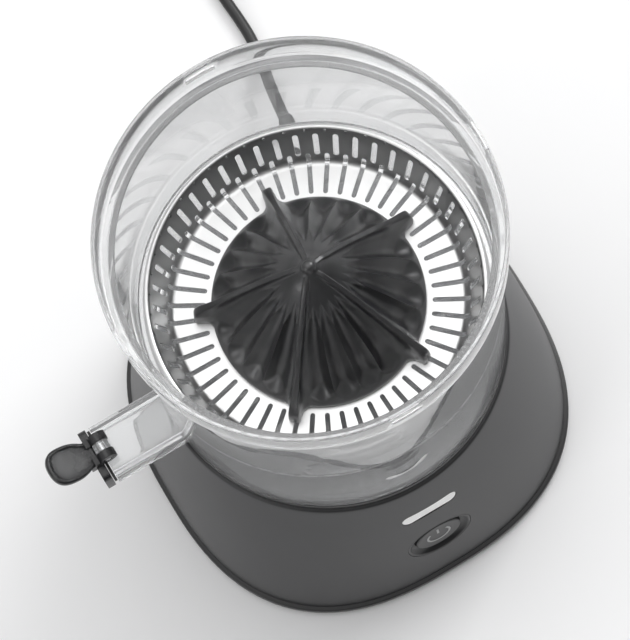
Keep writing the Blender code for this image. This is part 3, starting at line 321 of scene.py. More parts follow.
def softened(obj, width, angle=35.0):
    """Rounds a piece's sharp edges with a Bevel, worked into its mesh."""
    modifier = obj.modifiers.new("edges", "BEVEL")
    modifier.width = width
    modifier.segments = 3
    modifier.limit_method = "ANGLE"
    modifier.angle_limit = math.radians(angle)
    worked_in(obj)


def rounded(corners, steps, closed=True):
    """Outline through (x, y, radius) corners; each turns on a quadratic curve."""
    pts = np.array([c[:2] for c in corners], dtype=float)
    out = []
    for i, (x, y, radius) in enumerate(corners):
        if radius == 0 or (not closed and i in (0, len(corners) - 1)):
            out.append([(x, y)])
            continue
        here = pts[i]
        before, after = pts[i - 1] - here, pts[(i + 1) % len(pts)] - here
        start = here + before / np.linalg.norm(before) * radius
        end = here + after / np.linalg.norm(after) * radius
        t = np.linspace(0, 1, steps + 1)[:, None]
        out.append((1 - t) ** 2 * start + 2 * t * (1 - t) * here + t ** 2 * end)
    return np.concatenate([np.asarray(o, dtype=float) for o in out])


def turned_points(profile, count, phase=0.0):
    """Radius and height pairs swept round the vertical axis: one ring of points each."""
    profile = np.asarray(profile, dtype=float)
    angles = phase + TAU * np.arange(count) / count
    ring = np.stack([np.cos(angles), np.sin(angles)], axis=-1)
    level = np.broadcast_to(profile[:, None, 1:2], (len(profile), count, 1))
    return np.concatenate([profile[:, None, 0:1] * ring[None], level], axis=-1)


def turned(name, profile, count, closed=True, place=None):
    """A turned piece from its profile; place moves the points from their own frame."""
    points = turned_points(profile, count)
    if place is not None:
        points = place(points)
    faces = quads(len(profile), count, wrap_rows=closed)
    return new_object(name, points, faces, 0 if closed else 1e-7)


def lofted(name, rings, merge=1e-7, wrap_rows=False):
    """Rings of equal count joined in order; a ring shrunk to a point closes an end."""
    rings = np.asarray(rings, dtype=float)
    return new_object(name, rings, quads(rings.shape[0], rings.shape[1], wrap_rows), merge)


def extruded(name, outline, low, high, place=None):
    """An outline in local XY carried from low to high, with flat ends."""
    outline = np.asarray(outline, dtype=float)
    count = len(outline)
    points = np.concatenate([np.column_stack([outline, np.full(count, level)])
                             for level in (low, high)])
    if place is not None:
        points = place(points)
    sides = quads(2, count).tolist()
    return new_object(name, points, sides + [list(range(count)), list(range(count, 2 * count))])


def frame_place(origin, side, up, out):
    """A function that takes local (side, up, out) points to points about the axis."""
    axes = np.array([side, up, out], dtype=float)
    origin = np.array(origin, dtype=float)
    return lambda points: np.asarray(points) @ axes + origin


def smoothstep(t):
    """0 below 0, 1 above 1, eased between."""
    t = np.clip(t, 0.0, 1.0)
    return t * t * (3 - 2 * t)


def oblong(length, height, count):
    """Outline of a slot with round ends, long way on X."""
    r = height / 2
    a = np.linspace(-math.pi / 2, math.pi / 2, count)
    right = np.stack([length / 2 - r + r * np.cos(a), r * np.sin(a)], axis=-1)
    return np.concatenate([right, -right])


def round_box(half_x, half_y, radius, steps):
    """Outline of a rectangle with round corners."""
    return rounded([(-half_x, -half_y, radius), (half_x, -half_y, radius),
                    (half_x, half_y, radius), (-half_x, half_y, radius)], steps)


# ---- mains lead ----
CORD_R = 2.3
LEAD_ROUTE = [(34.5, 106.0, 18.0), (34.8, 110.0, 17.7), (35.4, 115.0, 15.6), (36.3, 121.0, 11.4),
              (37.4, 127.0, 7.2), (38.9, 133.5, 4.1), (40.4, 141.0, 2.6), (41.3, 149.0, 2.35),
              (41.2, 158.0, 2.35), (40.6, 168.0, 2.35), (40.6, 178.0, 2.35), (41.2, 187.3, 2.35)]
TAIL_ROUTE = [(86.3, 232.6, 3.5), (90.0, 232.6, 2.6), (94.0, 232.6, 2.7), (98.0, 232.6, 3.6),
              (102.0, 232.6, 4.7), (106.0, 232.6, 5.5), (109.0, 232.6, 5.7), (111.5, 232.6, 5.7)]
COIL_ENTRY = (41.35, 196.0, 2.33)
COIL_EXIT = (77.0, 232.6, 6.35)
COIL_AT = (68.8, 205.0)
COIL_OUTER, COIL_INNER = 27.4, 22.7             # radii of the two columns of turns
COIL_LAYER = (2.32, 6.9, 11.45)                 # heights of the three layers
COIL_SWEEP, COIL_STEP = 1890.0, 8.0             # degrees in all, and between points
MOVE_IN, MOVE_OUT = 298.0, 1220.0               # where the lead changes column
RISE, RISE_AGAIN, DROP = 655.0, 1015.0, 1555.0  # where it changes layer
PLUG_AT, PLUG_L = (111.8, 232.6, 5.7), 30.0
TIE_ANGLE = math.radians(-35)
LEAD_X, _, LEAD_Z = LEAD_ROUTE[0]
SLEEVE_Y = edge("strain_relief", LOW, Y)
SLEEVE_L = round(edge("strain_relief", HIGH, Y) - SLEEVE_Y, 2)


def coil_route():
    """Turns of the coil: radius and height change by eased steps along a falling angle."""
    sweep = np.arange(COIL_STEP, COIL_SWEEP + 1, COIL_STEP)
    wide = COIL_OUTER - COIL_INNER
    low, middle, top = COIL_LAYER
    radius = (COIL_OUTER - wide * smoothstep((sweep - MOVE_IN) / 60)
              + wide * smoothstep((sweep - MOVE_OUT) / 60))
    height = (low + (middle - low) * smoothstep((sweep - RISE) / 65)
              + (top - middle) * smoothstep((sweep - RISE_AGAIN) / 65)
              - (top - middle) * smoothstep((sweep - DROP) / 60))
    angle = np.radians(180.0 - sweep)
    return np.stack([COIL_AT[0] + radius * np.cos(angle), COIL_AT[1] + radius * np.sin(angle),
                     height], axis=-1)


def smooth_route(points, spacing):
    """Catmull-Rom curve through the points, in steps of about the given spacing."""
    pts = np.asarray(points, dtype=float)
    ends = np.concatenate([[2 * pts[0] - pts[1]], pts, [2 * pts[-1] - pts[-2]]])
    out = []
    for a, b, c, d in zip(ends, ends[1:], ends[2:], ends[3:]):
        t = np.arange(0, 1, min(1.0, spacing / np.linalg.norm(c - b)))[:, None]
        out.append(0.5 * (2 * b + (c - a) * t + (2 * a - 5 * b + 4 * c - d) * t ** 2
                          + (3 * b - a - 3 * c + d) * t ** 3))
    return np.concatenate(out + [pts[-1:]])


def build_lead():
    """The lead as one open curve: free stretch, coil and tail, with the pieces on it."""
    route = np.concatenate([LEAD_ROUTE, [COIL_ENTRY], coil_route(), [COIL_EXIT], TAIL_ROUTE])
    points = smooth_route(route, 2.5) * MM + (AXIS_X, 0, 0)
    length = float(np.linalg.norm(np.diff(points, axis=0), axis=1).sum())
    curve = bpy.data.curves.new("mains_lead", "CURVE")
    curve.dimensions = "3D"
    curve.bevel_depth = CORD_R * MM
    curve.bevel_resolution = 5
    curve.use_fill_caps = True
    spline = curve.splines.new("POLY")
    spline.points.add(len(points) - 1)
    spline.points.foreach_set("co", np.column_stack([points, np.ones(len(points))]).ravel())
    spline.use_smooth = True
    curve.materials.append(CORD_BLACK)
    lead = bpy.data.objects.new("mains_lead", curve)
    bpy.context.collection.objects.link(lead)
    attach(lead, "base")
    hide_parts("lead", "lead_coil", "lead_tail")
    return lead, length


def build_sleeve():
    """Tapered strain relief: ribs whose radius falls along the lead, round a stepped root."""
    root_r, tip_r, root_l = 5.0, 3.05, 18.0
    ribs_from, ribs_to, rib_pitch, rib_depth = 21.0, 42.0, 3.4, 0.32
    y = np.linspace(0, 1, 121) * SLEEVE_L
    radius = root_r - (root_r - tip_r) * smoothstep((y - root_l) / (SLEEVE_L - root_l))
    rib = rib_depth * smoothstep((y - ribs_from) / 2) * smoothstep((ribs_to - y) / 2)
    radius = radius - rib * (0.5 - 0.5 * np.cos(TAU * (y - ribs_from) / rib_pitch)) ** 0.6
    profile = np.column_stack([radius, y])
    profile = np.concatenate([[(0, 0), (root_r - 0.4, 0)], profile[2:-2],
                              [(tip_r - 0.3, SLEEVE_L), (0, SLEEVE_L)]])
    place = frame_place(np.array((LEAD_X, SLEEVE_Y, LEAD_Z)) * MM, (1, 0, 0), (0, 0, -1),
                        (0, 1, 0))
    obj = turned("lead_sleeve", profile * MM, 40, False, place)
    return finish_piece(obj, RUBBER, "base", ["strain_relief"], 50)


def build_plug():
    """Moulded plug: oval sections along the lead, ribbed neck and finger waist."""
    along = np.array([0, 0.4, 2, 3, 3.4, 4.6, 5, 6.2, 6.6, 7.8, 8.4, 9.5, 11, 13, 16, 19, 22, 25,
                      28, 29.3, 29.8, 30])
    high = np.array([2.6, 3.1, 3.1, 3.1, 2.75, 2.75, 3.3, 3.3, 2.95, 2.95, 3.5, 3.8, 4.4, 5.1,
                     5.5, 5.25, 5.1, 5.3, 5.5, 5.4, 5.1, 4.6])
    wide = np.array([2.6, 3.1, 3.1, 3.3, 2.9, 3.0, 3.7, 3.8, 3.3, 3.5, 4.2, 5.0, 6.3, 8.0,
                     8.9, 8.3, 8.0, 8.5, 9.0, 8.8, 8.4, 7.9])
    fine = np.linspace(0, PLUG_L, 91)
    high, wide = np.interp(fine, along, high), np.interp(fine, along, wide)
    power = 2 + 1.2 * smoothstep((fine - 10) / 8)
    a = TAU * np.arange(56) / 56
    c, s = np.cos(a)[None], np.sin(a)[None]
    p = power[:, None]
    r = (np.abs(c) ** p + np.abs(s) ** p) ** (-1 / p)
    rings = np.stack([np.broadcast_to(fine[:, None], r.shape), r * c * wide[:, None],
                      r * s * high[:, None]], axis=-1)
    rings = np.concatenate([rings[:1] * (1, 0, 0), rings, rings[-1:] * (1, 0, 0)])
    obj = lofted("plug_body", (rings + PLUG_AT) * MM)
    return finish_piece(obj, RUBBER, "base", ["plug"], 40)


def build_tie():
    """Soft tie round the coil: a flat band bent to a rounded rectangle."""
    outer = round_box(5.1, 7.05, 1.8, 6)
    inner = round_box(4.7, 6.65, 1.5, 6)
    half_width, middle_z = 4.0, 7.1
    rings = []
    for shape, side in ((outer, -1), (outer, 1), (inner, 1), (inner, -1)):
        rings.append(np.column_stack([shape[:, 0], np.full(len(shape), side * half_width),
                                      shape[:, 1] + middle_z]))
    out = np.array([math.cos(TIE_ANGLE), math.sin(TIE_ANGLE), 0])
    side = np.array([-math.sin(TIE_ANGLE), math.cos(TIE_ANGLE), 0])
    centre = np.array([*COIL_AT, 0]) + out * (COIL_OUTER + COIL_INNER) / 2
    place = frame_place(centre, out, side, (0, 0, 1))
    obj = lofted("lead_tie", place(np.array(rings)) * MM, 0.0, True)
    return finish_piece(obj, RUBBER, "base", (), 30)


lead, lead_length = build_lead()
sleeve = build_sleeve()
plug = build_plug()
tie = build_tie()

# ---- motor base ----
HOUSING_LOW, HOUSING_TOP = edge("housing", LOW, Z), edge("housing", HIGH, Z)
HOUSING_HALF, HOUSING_NECK = edge("housing", HIGH, Y), 66.5
HOUSING_WALL = 2.5
FLANGE_IN = 56.0
PLATE_HALF = edge("base_plate", HIGH, Y)
PLATE_LOW, PLATE_TOP = edge("base_plate", LOW, Z), edge("base_plate", HIGH, Z)
DECK_R = edge("top_deck", HIGH, Y)
DECK_LOW, BOSS_TOP = edge("top_deck", LOW, Z), edge("top_deck", HIGH, Z)
DECK_Z, LAND_Z = 108.5, 110.5
LED_Z, LED_L, LED_H = 78.5, 2 * edge("indicator_lens", HIGH, X), 6.6
BUTTON_Z = 46.8
BEZEL_R, BUTTON_R = edge("button_bezel", HIGH, X), edge("power_button", HIGH, X)
LEAD_HOLE_R = 5.3
SQUARENESS = 2.56
BULGE = 0.45


def flank(z):
    """Half width and squareness of the housing at a height, all in millimetres."""
    t = (HOUSING_TOP - z) / (HOUSING_TOP - HOUSING_LOW)
    full = (1 + BULGE) * t - BULGE * t * t
    return HOUSING_NECK + (HOUSING_HALF - HOUSING_NECK) * full, 2 + (SQUARENESS - 2) * t


def squircle(half, power, z, count):
    """Ring |x|^p + |y|^p = half^p at one height."""
    a = TAU * np.arange(count) / count
    c, s = np.cos(a), np.sin(a)
    r = half / (np.abs(c) ** power + np.abs(s) ** power) ** (1 / power)
    return np.column_stack([r * c, r * s, np.full(count, z)])


def front_frame(z):
    """Origin and axes of the front centre line at a height: side, up and out."""
    slope = flank(z - 0.5)[0] - flank(z + 0.5)[0]
    out = np.array([0, -1.0, slope])
    out /= np.linalg.norm(out)
    side = np.array([1.0, 0, 0])
    return np.array([0, -flank(z)[0], z]), side, np.cross(out, side), out


def skin_depth(z, side, up):
    """How far the housing's skin stands out of the front plane at local (side, up)."""
    origin, x_axis, up_axis, out = front_frame(z)
    side, up = np.asarray(side, dtype=float), np.asarray(up, dtype=float)
    depth = np.zeros_like(side)
    for _ in range(6):
        y = origin[1] + up * up_axis[1] + depth * out[1]
        level = origin[2] + up * up_axis[2] + depth * out[2]
        half, power = flank(level)
        want = -(half ** power - np.abs(side) ** power) ** (1 / power)
        depth = depth + (want - y) / out[1]
    return depth


def build_housing():
    """Shell of rounded-square rings, with the lens slot, button and lead holes cut out."""
    count = 224
    rings = [squircle(flank(HOUSING_LOW)[0] - 0.4, SQUARENESS, HOUSING_LOW, count)]
    for z in np.concatenate([[HOUSING_LOW + 0.4], np.linspace(8.5, 101.6, 54)]):
        rings.append(squircle(*flank(z), z, count))
    for inset, drop in ((0.05, 0.7), (0.25, 0.3), (0.55, 0.08), (0.95, 0.0)):
        half, power = flank(HOUSING_TOP - drop)
        rings.append(squircle(half - inset, power, HOUSING_TOP - drop, count))
    rings.append(squircle(FLANGE_IN, 2.0, HOUSING_TOP, count))
    rings.append(squircle(FLANGE_IN, 2.0, HOUSING_TOP - HOUSING_WALL, count))
    for z in np.linspace(HOUSING_TOP - HOUSING_WALL, HOUSING_LOW, 12):
        half, power = flank(z)
        rings.append(squircle(half - HOUSING_WALL, power, z, count))
    shell = lofted("housing_shell", np.array(rings) * MM, 0.0, True)
    tools = []
    for z, outline in ((LED_Z, oblong(LED_L + 0.4, LED_H + 0.4, 14)),
                       (BUTTON_Z, turned_points([(BEZEL_R + 0.12, 0)], 72, 0.013)[0, :, :2])):
        origin, side, up, out = front_frame(z)
        place = frame_place(origin * MM, side, up, out)
        tools.append((extruded("cut", outline * MM, -14 * MM, 6 * MM, place), "DIFFERENCE"))
    hole = turned_points([(LEAD_HOLE_R, 0)], 48, 0.02)[0, :, :2]
    place = frame_place(np.array((LEAD_X, HOUSING_HALF, LEAD_Z)) * MM, (1, 0, 0), (0, 0, -1),
                        (0, 1, 0))
    tools.append((extruded("cut", hole * MM, -14 * MM, 14 * MM, place), "DIFFERENCE"))
    combined(shell, tools)
    return finish_piece(shell, SATIN_GREY, "base", ["housing"], 35)


def build_lens():
    """Light bar: the slot outline shrunk ring by ring to its middle, crowned to the skin."""
    outline = oblong(LED_L, LED_H, 18)
    spine = np.clip(outline[:, 0], -(LED_L - LED_H) / 2, (LED_L - LED_H) / 2)
    base = np.column_stack([spine, np.zeros(len(outline))])
    origin, side, up, out = front_frame(LED_Z)
    rings = []
    for share, depth, rides in ((0.0, -4.2, 0), (1.0, -4.2, 0), (1.0, -0.45, 1), (0.985, -0.25, 1),
                                (0.95, -0.12, 1), (0.88, -0.05, 1), (0.6, 0.0, 1), (0.3, 0.03, 1),
                                (0.0, 0.04, 1)):
        flat = base + (outline - base) * share
        level = depth + rides * skin_depth(LED_Z, flat[:, 0], flat[:, 1])
        rings.append(np.column_stack([flat, level]))
    place = frame_place(origin * MM, side, up, out)
    obj = lofted("light_bar", place(np.array(rings) * MM), 1e-6)
    return finish_piece(obj, LENS_WHITE, "base", ["indicator_lens"], 40)


def build_button():
    """Dished ring that follows the skin at its lip, the push button and its printed mark."""
    origin, side, up, out = front_frame(BUTTON_Z)
    place = frame_place(origin * MM, side, up, out)
    hole = BUTTON_R + 0.3
    profile = rounded([(BEZEL_R, -5.0, 0), (BEZEL_R, 0.0, 0.35), (BEZEL_R - 0.9, -0.05, 0.5),
                       (hole + 1.6, -2.1, 1.6), (hole + 0.5, -2.3, 0.4), (hole, -2.6, 0.2),
                       (hole, -5.0, 0)], 5)
    flat = turned_points(profile, 96)
    rides = smoothstep((profile[:, 0] - hole - 0.6) / (BEZEL_R - hole - 1.4))
    rides = rides * (profile[:, 1] > -4.9)
    flat[:, :, 2] += rides[:, None] * skin_depth(BUTTON_Z, flat[:, :, 0], flat[:, :, 1])
    ring = new_object("button_ring", place(flat * MM), quads(len(profile), 96, True))
    finish_piece(ring, BLACK, "base", ["button_bezel"], 35)

    profile = rounded([(0, -9.0, 0), (2.4, -9.0, 0), (2.4, -4.0, 0), (BUTTON_R, -4.0, 0),
                       (BUTTON_R, -1.0, 0.9), (BUTTON_R - 2.6, -1.12, 1.0), (0, -1.3, 0)], 5,
                      closed=False)
    cap = turned("start_button", profile * MM, 96, False, place)
    finish_piece(cap, BLACK, "button", ["power_button"], 35)

    mark_r, half, top, low = 4.7, 0.42, -1.06, -1.5
    gap, bar_low, bar_high = 48, 1.6, 5.6
    a = np.radians(np.linspace(90 + gap, 450 - gap, 65))
    along = np.stack([np.cos(a), np.sin(a)], axis=-1)
    cross = [(mark_r - half, low), (mark_r + half, low), (mark_r + half, top),
             (mark_r - half, top)]
    grid = np.stack([np.column_stack([along * r, np.full(len(a), z)]) for r, z in cross])
    arc_faces = quads(4, len(a), True, False).tolist()
    ends = [[k * len(a) for k in range(4)], [k * len(a) + len(a) - 1 for k in range(4)]]
    bar = np.array([(x, y, z) for z in (low, top) for x, y in
                    ((-half, bar_low), (half, bar_low), (half, bar_high), (-half, bar_high))])
    start = grid.size // 3
    bar_faces = (quads(2, 4) + start).tolist() + [[start + k for k in range(4)],
                                                  [start + 4 + k for k in range(4)]]
    points = np.concatenate([grid.reshape(-1, 3), bar])
    mark = new_object("button_mark", place(points * MM), arc_faces + ends + bar_faces)
    finish_piece(mark, MARK_GREY, "button", (), 30)


def build_plinth():
    """Base cover: rounded-square rings with eased edges and a recessed underside."""
    half, low, top = PLATE_HALF, PLATE_LOW, PLATE_TOP
    under = low + 0.9
    levels = [(0.0, under), (60.0, under), (half - 5.9, under), (half - 4.7, low),
              (half - 0.9, low), (half - 0.3, low + 0.2), (half, low + 0.7), (half, top - 0.7),
              (half - 0.2, top - 0.25), (half - 0.7, top), (60.0, top), (0.0, top)]
    rings = [squircle(wide, SQUARENESS, z, 200) for wide, z in levels]
    obj = lofted("base_cover", np.array(rings) * MM)
    return finish_piece(obj, BLACK, "base", ["base_plate"], 35)


def build_collar():
    """Turned deck: sunk top, raised land, a stepped outer edge and the bush's boss."""
    bore, boss, step = 6.5, 7.4, 0.9
    profile = rounded([(bore, DECK_LOW, 0), (DECK_R - 0.7, DECK_LOW, 0.2),
                       (DECK_R - 0.7, DECK_LOW + 0.9, 0.2), (DECK_R, DECK_LOW + 1.2, 0.3),
                       (DECK_R, DECK_LOW + 4.5, 0.5), (DECK_R - step, DECK_LOW + 4.9, 0.3),
                       (DECK_R - step, LAND_Z, 0.4), (58.1, LAND_Z, 0.5), (56.9, DECK_Z, 0.6),
                       (boss + 1.2, DECK_Z, 1.0), (boss, DECK_Z + 1.7, 0.6),
                       (boss, BOSS_TOP, 0.5), (bore, BOSS_TOP, 0)], 4)
    obj = turned("deck_collar", profile * MM, 160)
    return finish_piece(obj, BLACK, "base", ["top_deck"], 35)


build_housing()
build_lens()
build_button()
build_plinth()
build_collar()

# ---- clear bowl ----
BOWL_Z = edge("bowl", LOW, Z)                   # heights below are above this one
BOWL_H = round(edge("bowl", HIGH, Z) - BOWL_Z, 2)
BOWL_R, BOWL_TOP_R = 65.7, 66.0
INNER_LOW, INNER_TOP = 63.5, 63.8
RIM_R, RIM_H = edge("bowl", HIGH, Y), 15.3
SHELF_Z = 54.6
FLOOR_UNDER, FLOOR_TOP = 2.3, 4.6
TUBE_IN, TUBE_OUT, TUBE_H = 8.2, 11.0, 41.0
SPOUT_HALF, SPOUT_LOW, SPOUT_HIGH = edge("spout_flap", HIGH, Y), 0.4, 14.4
SPOUT_WALL = 2.0
MOUTH_X = -93.7
PIN_LOW, PIN_HIGH = ([edge("flap_pin", corner, axis) for axis in (X, Y, Z)]
                     for corner in (LOW, HIGH))
HINGE = tuple(round((a + b) / 2, 2) for a, b in zip(PIN_LOW, PIN_HIGH))
EAR_R, LUG_R, PIN_HOLE_R = 3.6, 3.0, 1.35


def hinge_outline(radius, foot=0.0, sides=48):
    """A disc, or with a foot its upper half and a block down to the foot, in local XZ."""
    a = TAU * np.arange(sides) / sides
    disc = np.stack([radius * np.cos(a), radius * np.sin(a)], axis=-1)
    if foot:
        disc = disc[disc[:, 1] >= -1e-9]
        disc = np.concatenate([disc, [(-0.8, -foot), (radius, -foot)]])
    return disc


HINGE_PLACE = frame_place(np.array(HINGE) * MM, (1, 0, 0), (0, 0, 1), (0, -1, 0))


def duct_block(name, half, low, high, radius, start, end):
    """A rounded-rectangle bar along X."""
    outline = round_box(half, (high - low) / 2, radius, 6)
    place = frame_place(np.array((0, 0, BOWL_Z + (low + high) / 2)) * MM, (0, 1, 0), (0, 0, 1),
                        (1, 0, 0))
    return extruded(name, outline * MM, start * MM, end * MM, place)


def arc_block(name, degrees, spread, low, high):
    """A block against the bowl's inner wall, over an arc and between two heights."""
    a = np.radians(np.linspace(degrees - spread, degrees + spread, 9))
    arc = np.stack([np.cos(a), np.sin(a)], axis=-1)
    outline = np.concatenate([arc * (INNER_LOW + 0.4), (arc * (INNER_LOW - 1.8))[::-1]])
    return extruded(name, outline * MM, (BOWL_Z + low) * MM, (BOWL_Z + high) * MM)


def build_bowl():
    """Bowl turned from one closed profile, joined to its duct and lug, then cut open."""
    wall_top = BOWL_H - RIM_H
    profile = rounded([
        (BOWL_R, 0, 0.5), (BOWL_TOP_R, wall_top - 1.9, 0.9), (RIM_R - 0.3, wall_top + 0.3, 0.9),
        (RIM_R, BOWL_H, 0.7), (RIM_R - 1.5, BOWL_H, 0.5), (RIM_R - 1.6, wall_top, 0.5),
        (INNER_TOP, wall_top, 0.6), (INNER_LOW, SHELF_Z, 0.5), (INNER_LOW - 3, SHELF_Z, 0.45),
        (INNER_LOW - 3, SHELF_Z - 1.5, 0.4), (INNER_LOW, SHELF_Z - 3.0, 0.8),
        (INNER_LOW, FLOOR_TOP, 3.6), (TUBE_OUT, FLOOR_TOP + 5.2, 2.0), (TUBE_OUT, TUBE_H, 0.6),
        (TUBE_IN, TUBE_H, 0.5), (TUBE_IN, FLOOR_UNDER + 5.2, 0.8),
        (INNER_LOW, FLOOR_UNDER, 0.5), (INNER_LOW, 0, 0.4)], 5)
    profile[:, 1] += BOWL_Z
    bowl = turned("clear_bowl", profile * MM, 160)
    duct = duct_block("duct", SPOUT_HALF, SPOUT_LOW, SPOUT_HIGH, 2.4, MOUTH_X, 1.3 - BOWL_R)
    lug = extruded("lug", hinge_outline(LUG_R, 6.2) * MM, -1.7 * MM, 1.7 * MM, HINGE_PLACE)
    tools = [(duct, "UNION"), (lug, "UNION")]
    for degrees, spread, low, high in ((-86.0, 0.35, 0.3, 2.6), (-108.0, 0.35, 0.3, 2.6),
                                       (-99.0, 5.0, 0.2, 1.4)):
        tools.append((arc_block("rib", degrees, spread, low, high), "UNION"))
    passage = duct_block("passage", SPOUT_HALF - SPOUT_WALL, FLOOR_TOP, SPOUT_HIGH - SPOUT_WALL,
                         2.0, MOUTH_X - 4, 8.0 - INNER_LOW)
    tools.append((passage, "DIFFERENCE"))
    pin_hole = extruded("pin_hole", hinge_outline(PIN_HOLE_R) * MM, -4 * MM, 4 * MM, HINGE_PLACE)
    tools.append((pin_hole, "DIFFERENCE"))
    for k in range(4):
        a = k * math.pi / 2
        place = frame_place(np.array((0, 0, BOWL_Z + BOWL_H - RIM_H / 2)) * MM,
                            (-math.sin(a), math.cos(a), 0), (0, 0, 1),
                            (math.cos(a), math.sin(a), 0))
        window = extruded("window", round_box(5.75, 1.6, 0.7, 3) * MM, (RIM_R - 4) * MM,
                          (RIM_R + 4) * MM, place)
        tools.append((window, "DIFFERENCE"))
    combined(bowl, tools)
    return finish_piece(bowl, CLEAR, "bowl", ["bowl"], 38)


def build_flap():
    """Drip-stop flap: plate, arms, risers, ears and bridge joined into one, and a dished thumb
    paddle as a second piece of the flap.
    """
    face, thick = MOUTH_X - 1.6, 3.0
    top, low = HINGE[2] - 4.6, BOWL_Z + SPOUT_LOW - 0.6
    plate_place = frame_place(np.array((face - thick / 2, 0, (top + low) / 2)) * MM, (0, 1, 0),
                              (0, 0, 1), (1, 0, 0))
    flap = extruded("spout_flap_skin", round_box(SPOUT_HALF, (top - low) / 2, 2.4, 5) * MM,
                    -thick / 2 * MM, thick / 2 * MM, plate_place)
    arm = np.array([(-5.2, -2.88), (0, -2.88), (0, 1.2), (-5.2, 1.2)])
    riser = np.array([(-5.0, -7.0), (-2.6, -7.0), (-2.6, 0), (-5.0, 0)])
    bridge = np.array([(-7.3, -5.6), (-4.3, -5.6), (-4.3, -0.4), (-7.3, -0.4)])
    near, far = 2.0, 5.2
    solids = []
    for low, high in ((near, far), (-far, -near)):
        solids += [("ear", hinge_outline(EAR_R), low, high),
                   ("arm", arm, low + 0.02, high - 0.02), ("riser", riser, low + 0.1, high - 0.1)]
    solids.append(("bridge", bridge, -5.1, 5.1))
    tools = [(extruded(name, shape * MM, low * MM, high * MM, HINGE_PLACE), "UNION")
             for name, shape, low, high in solids]
    ear_bore = extruded("ear_bore", hinge_outline(PIN_HOLE_R) * MM, -12 * MM, 12 * MM, HINGE_PLACE)
    tools.append((ear_bore, "DIFFERENCE"))
    combined(flap, tools)
    softened(flap, 0.35 * MM)
    finish_piece(flap, GLOSS_BLACK, "flap", ["spout_flap"], 40)
    paddle = build_paddle()
    finish_piece(paddle, GLOSS_BLACK, "flap", (), 40)


def build_paddle():
    """Thumb paddle: its outline shrunk ring by ring, rolled at the edge, dished on top."""
    length, half = 19.0, 7.2
    outline = rounded([(0.6, -half * 0.5, 1.0), (-1.5, -half * 0.55, 2.0), (-5.6, -half, 5.0),
                       (-length, -half, 7.1), (-length, half, 7.1), (-5.6, half, 5.0),
                       (-1.5, half * 0.55, 2.0), (0.6, half * 0.5, 1.0)], 9)
    centre = np.array([-length / 2, 0.0])
    away = outline - centre
    size = np.linalg.norm(away, axis=1, keepdims=True)
    rings = []
    for inset, z in ((99, 0.0), (1.2, 0.0), (0.5, 0.12), (0.1, 0.5), (0.0, 1.0), (0.0, 1.9),
                     (0.12, 2.35), (0.45, 2.68), (0.9, 2.8), (1.35, 2.75), (1.6, 2.5),
                     (2.0, 2.42), (3.5, 2.3), (99, 2.2)):
        share = np.clip((size - inset) / size, 0.0, 1.0)
        rings.append(np.column_stack([centre + away * share, np.full(len(outline), z)]))
    rise = math.radians(24.0)
    place = frame_place(np.array((HINGE[0] - 4.3, 0, HINGE[2] - 2.8)) * MM,
                        (math.cos(rise), 0, -math.sin(rise)), (0, 1, 0),
                        (math.sin(rise), 0, math.cos(rise)))
    return lofted("flap_paddle", place(np.array(rings) * MM), 1e-6)


build_bowl()
build_flap()

# ---- strainer ----
SLOTS = 50
SLOT_PHASE = math.radians(56.6)
FLOOR_Z = 42.1
FLOOR_R = 53.0
CORNER_R = 2.6
SLOT_IN_R = 40.4
SLOT_START = 2.0                                # flat left inside the floor slots
SHEET = 0.7
FLOOR_SLOT = 1.8
WALL_SLOT = 2.1
LIP = (58.96, 60.38)
ROLL_AT, ROLL_R = (59.95, 59.9), 1.1


def slot_rows(start, end, width):
    """Distances along a slot from its inner to its outer end, closer near the round ends."""
    near = width / 2 * np.array([0.0, 0.16, 0.45, 1.0])
    middle = np.linspace(start + width / 2, end - width / 2, 8)[1:-1]
    return np.concatenate([start + near, middle, end - near[::-1]])


def slot_half(place, start, end, width):
    """Half width of a round-ended slot at a place along it, a little blunt at its ends."""
    r = width / 2
    e = np.clip(np.minimum(place - start, end - place), 0.0, r)
    return np.sqrt(np.maximum(r * r - (r - e) ** 2, (0.4 * r) ** 2))


def sheet_shell(name, top, under, kept):
    """A closed sheet with openings: both faces of every kept cell, and a wall along each
    edge where a kept cell meets a missing one."""
    rows, cols = top.shape[:2]
    number = np.arange(rows * cols).reshape(rows, cols)
    offset = rows * cols
    cells = quads(rows, cols).reshape(rows - 1, cols, 4)[kept]
    faces = [cells, cells[:, ::-1] + offset]
    above = np.concatenate([kept, np.zeros((1, cols), bool)])
    below = np.concatenate([np.zeros((1, cols), bool), kept])
    i, j = np.nonzero(above != below)
    a, b = number[i, j], number[i, (j + 1) % cols]
    faces.append(np.stack([a, b, b + offset, a + offset], axis=-1))
    i, j = np.nonzero(kept != np.roll(kept, 1, axis=1))
    a, b = number[i, j], number[i + 1, j]
    faces.append(np.stack([a, b, b + offset, a + offset], axis=-1))
    points = np.concatenate([top.reshape(-1, 3), under.reshape(-1, 3)])
    used, faces = np.unique(np.concatenate(faces), return_inverse=True)
    return new_object(name, points[used], faces.reshape(-1, 4))


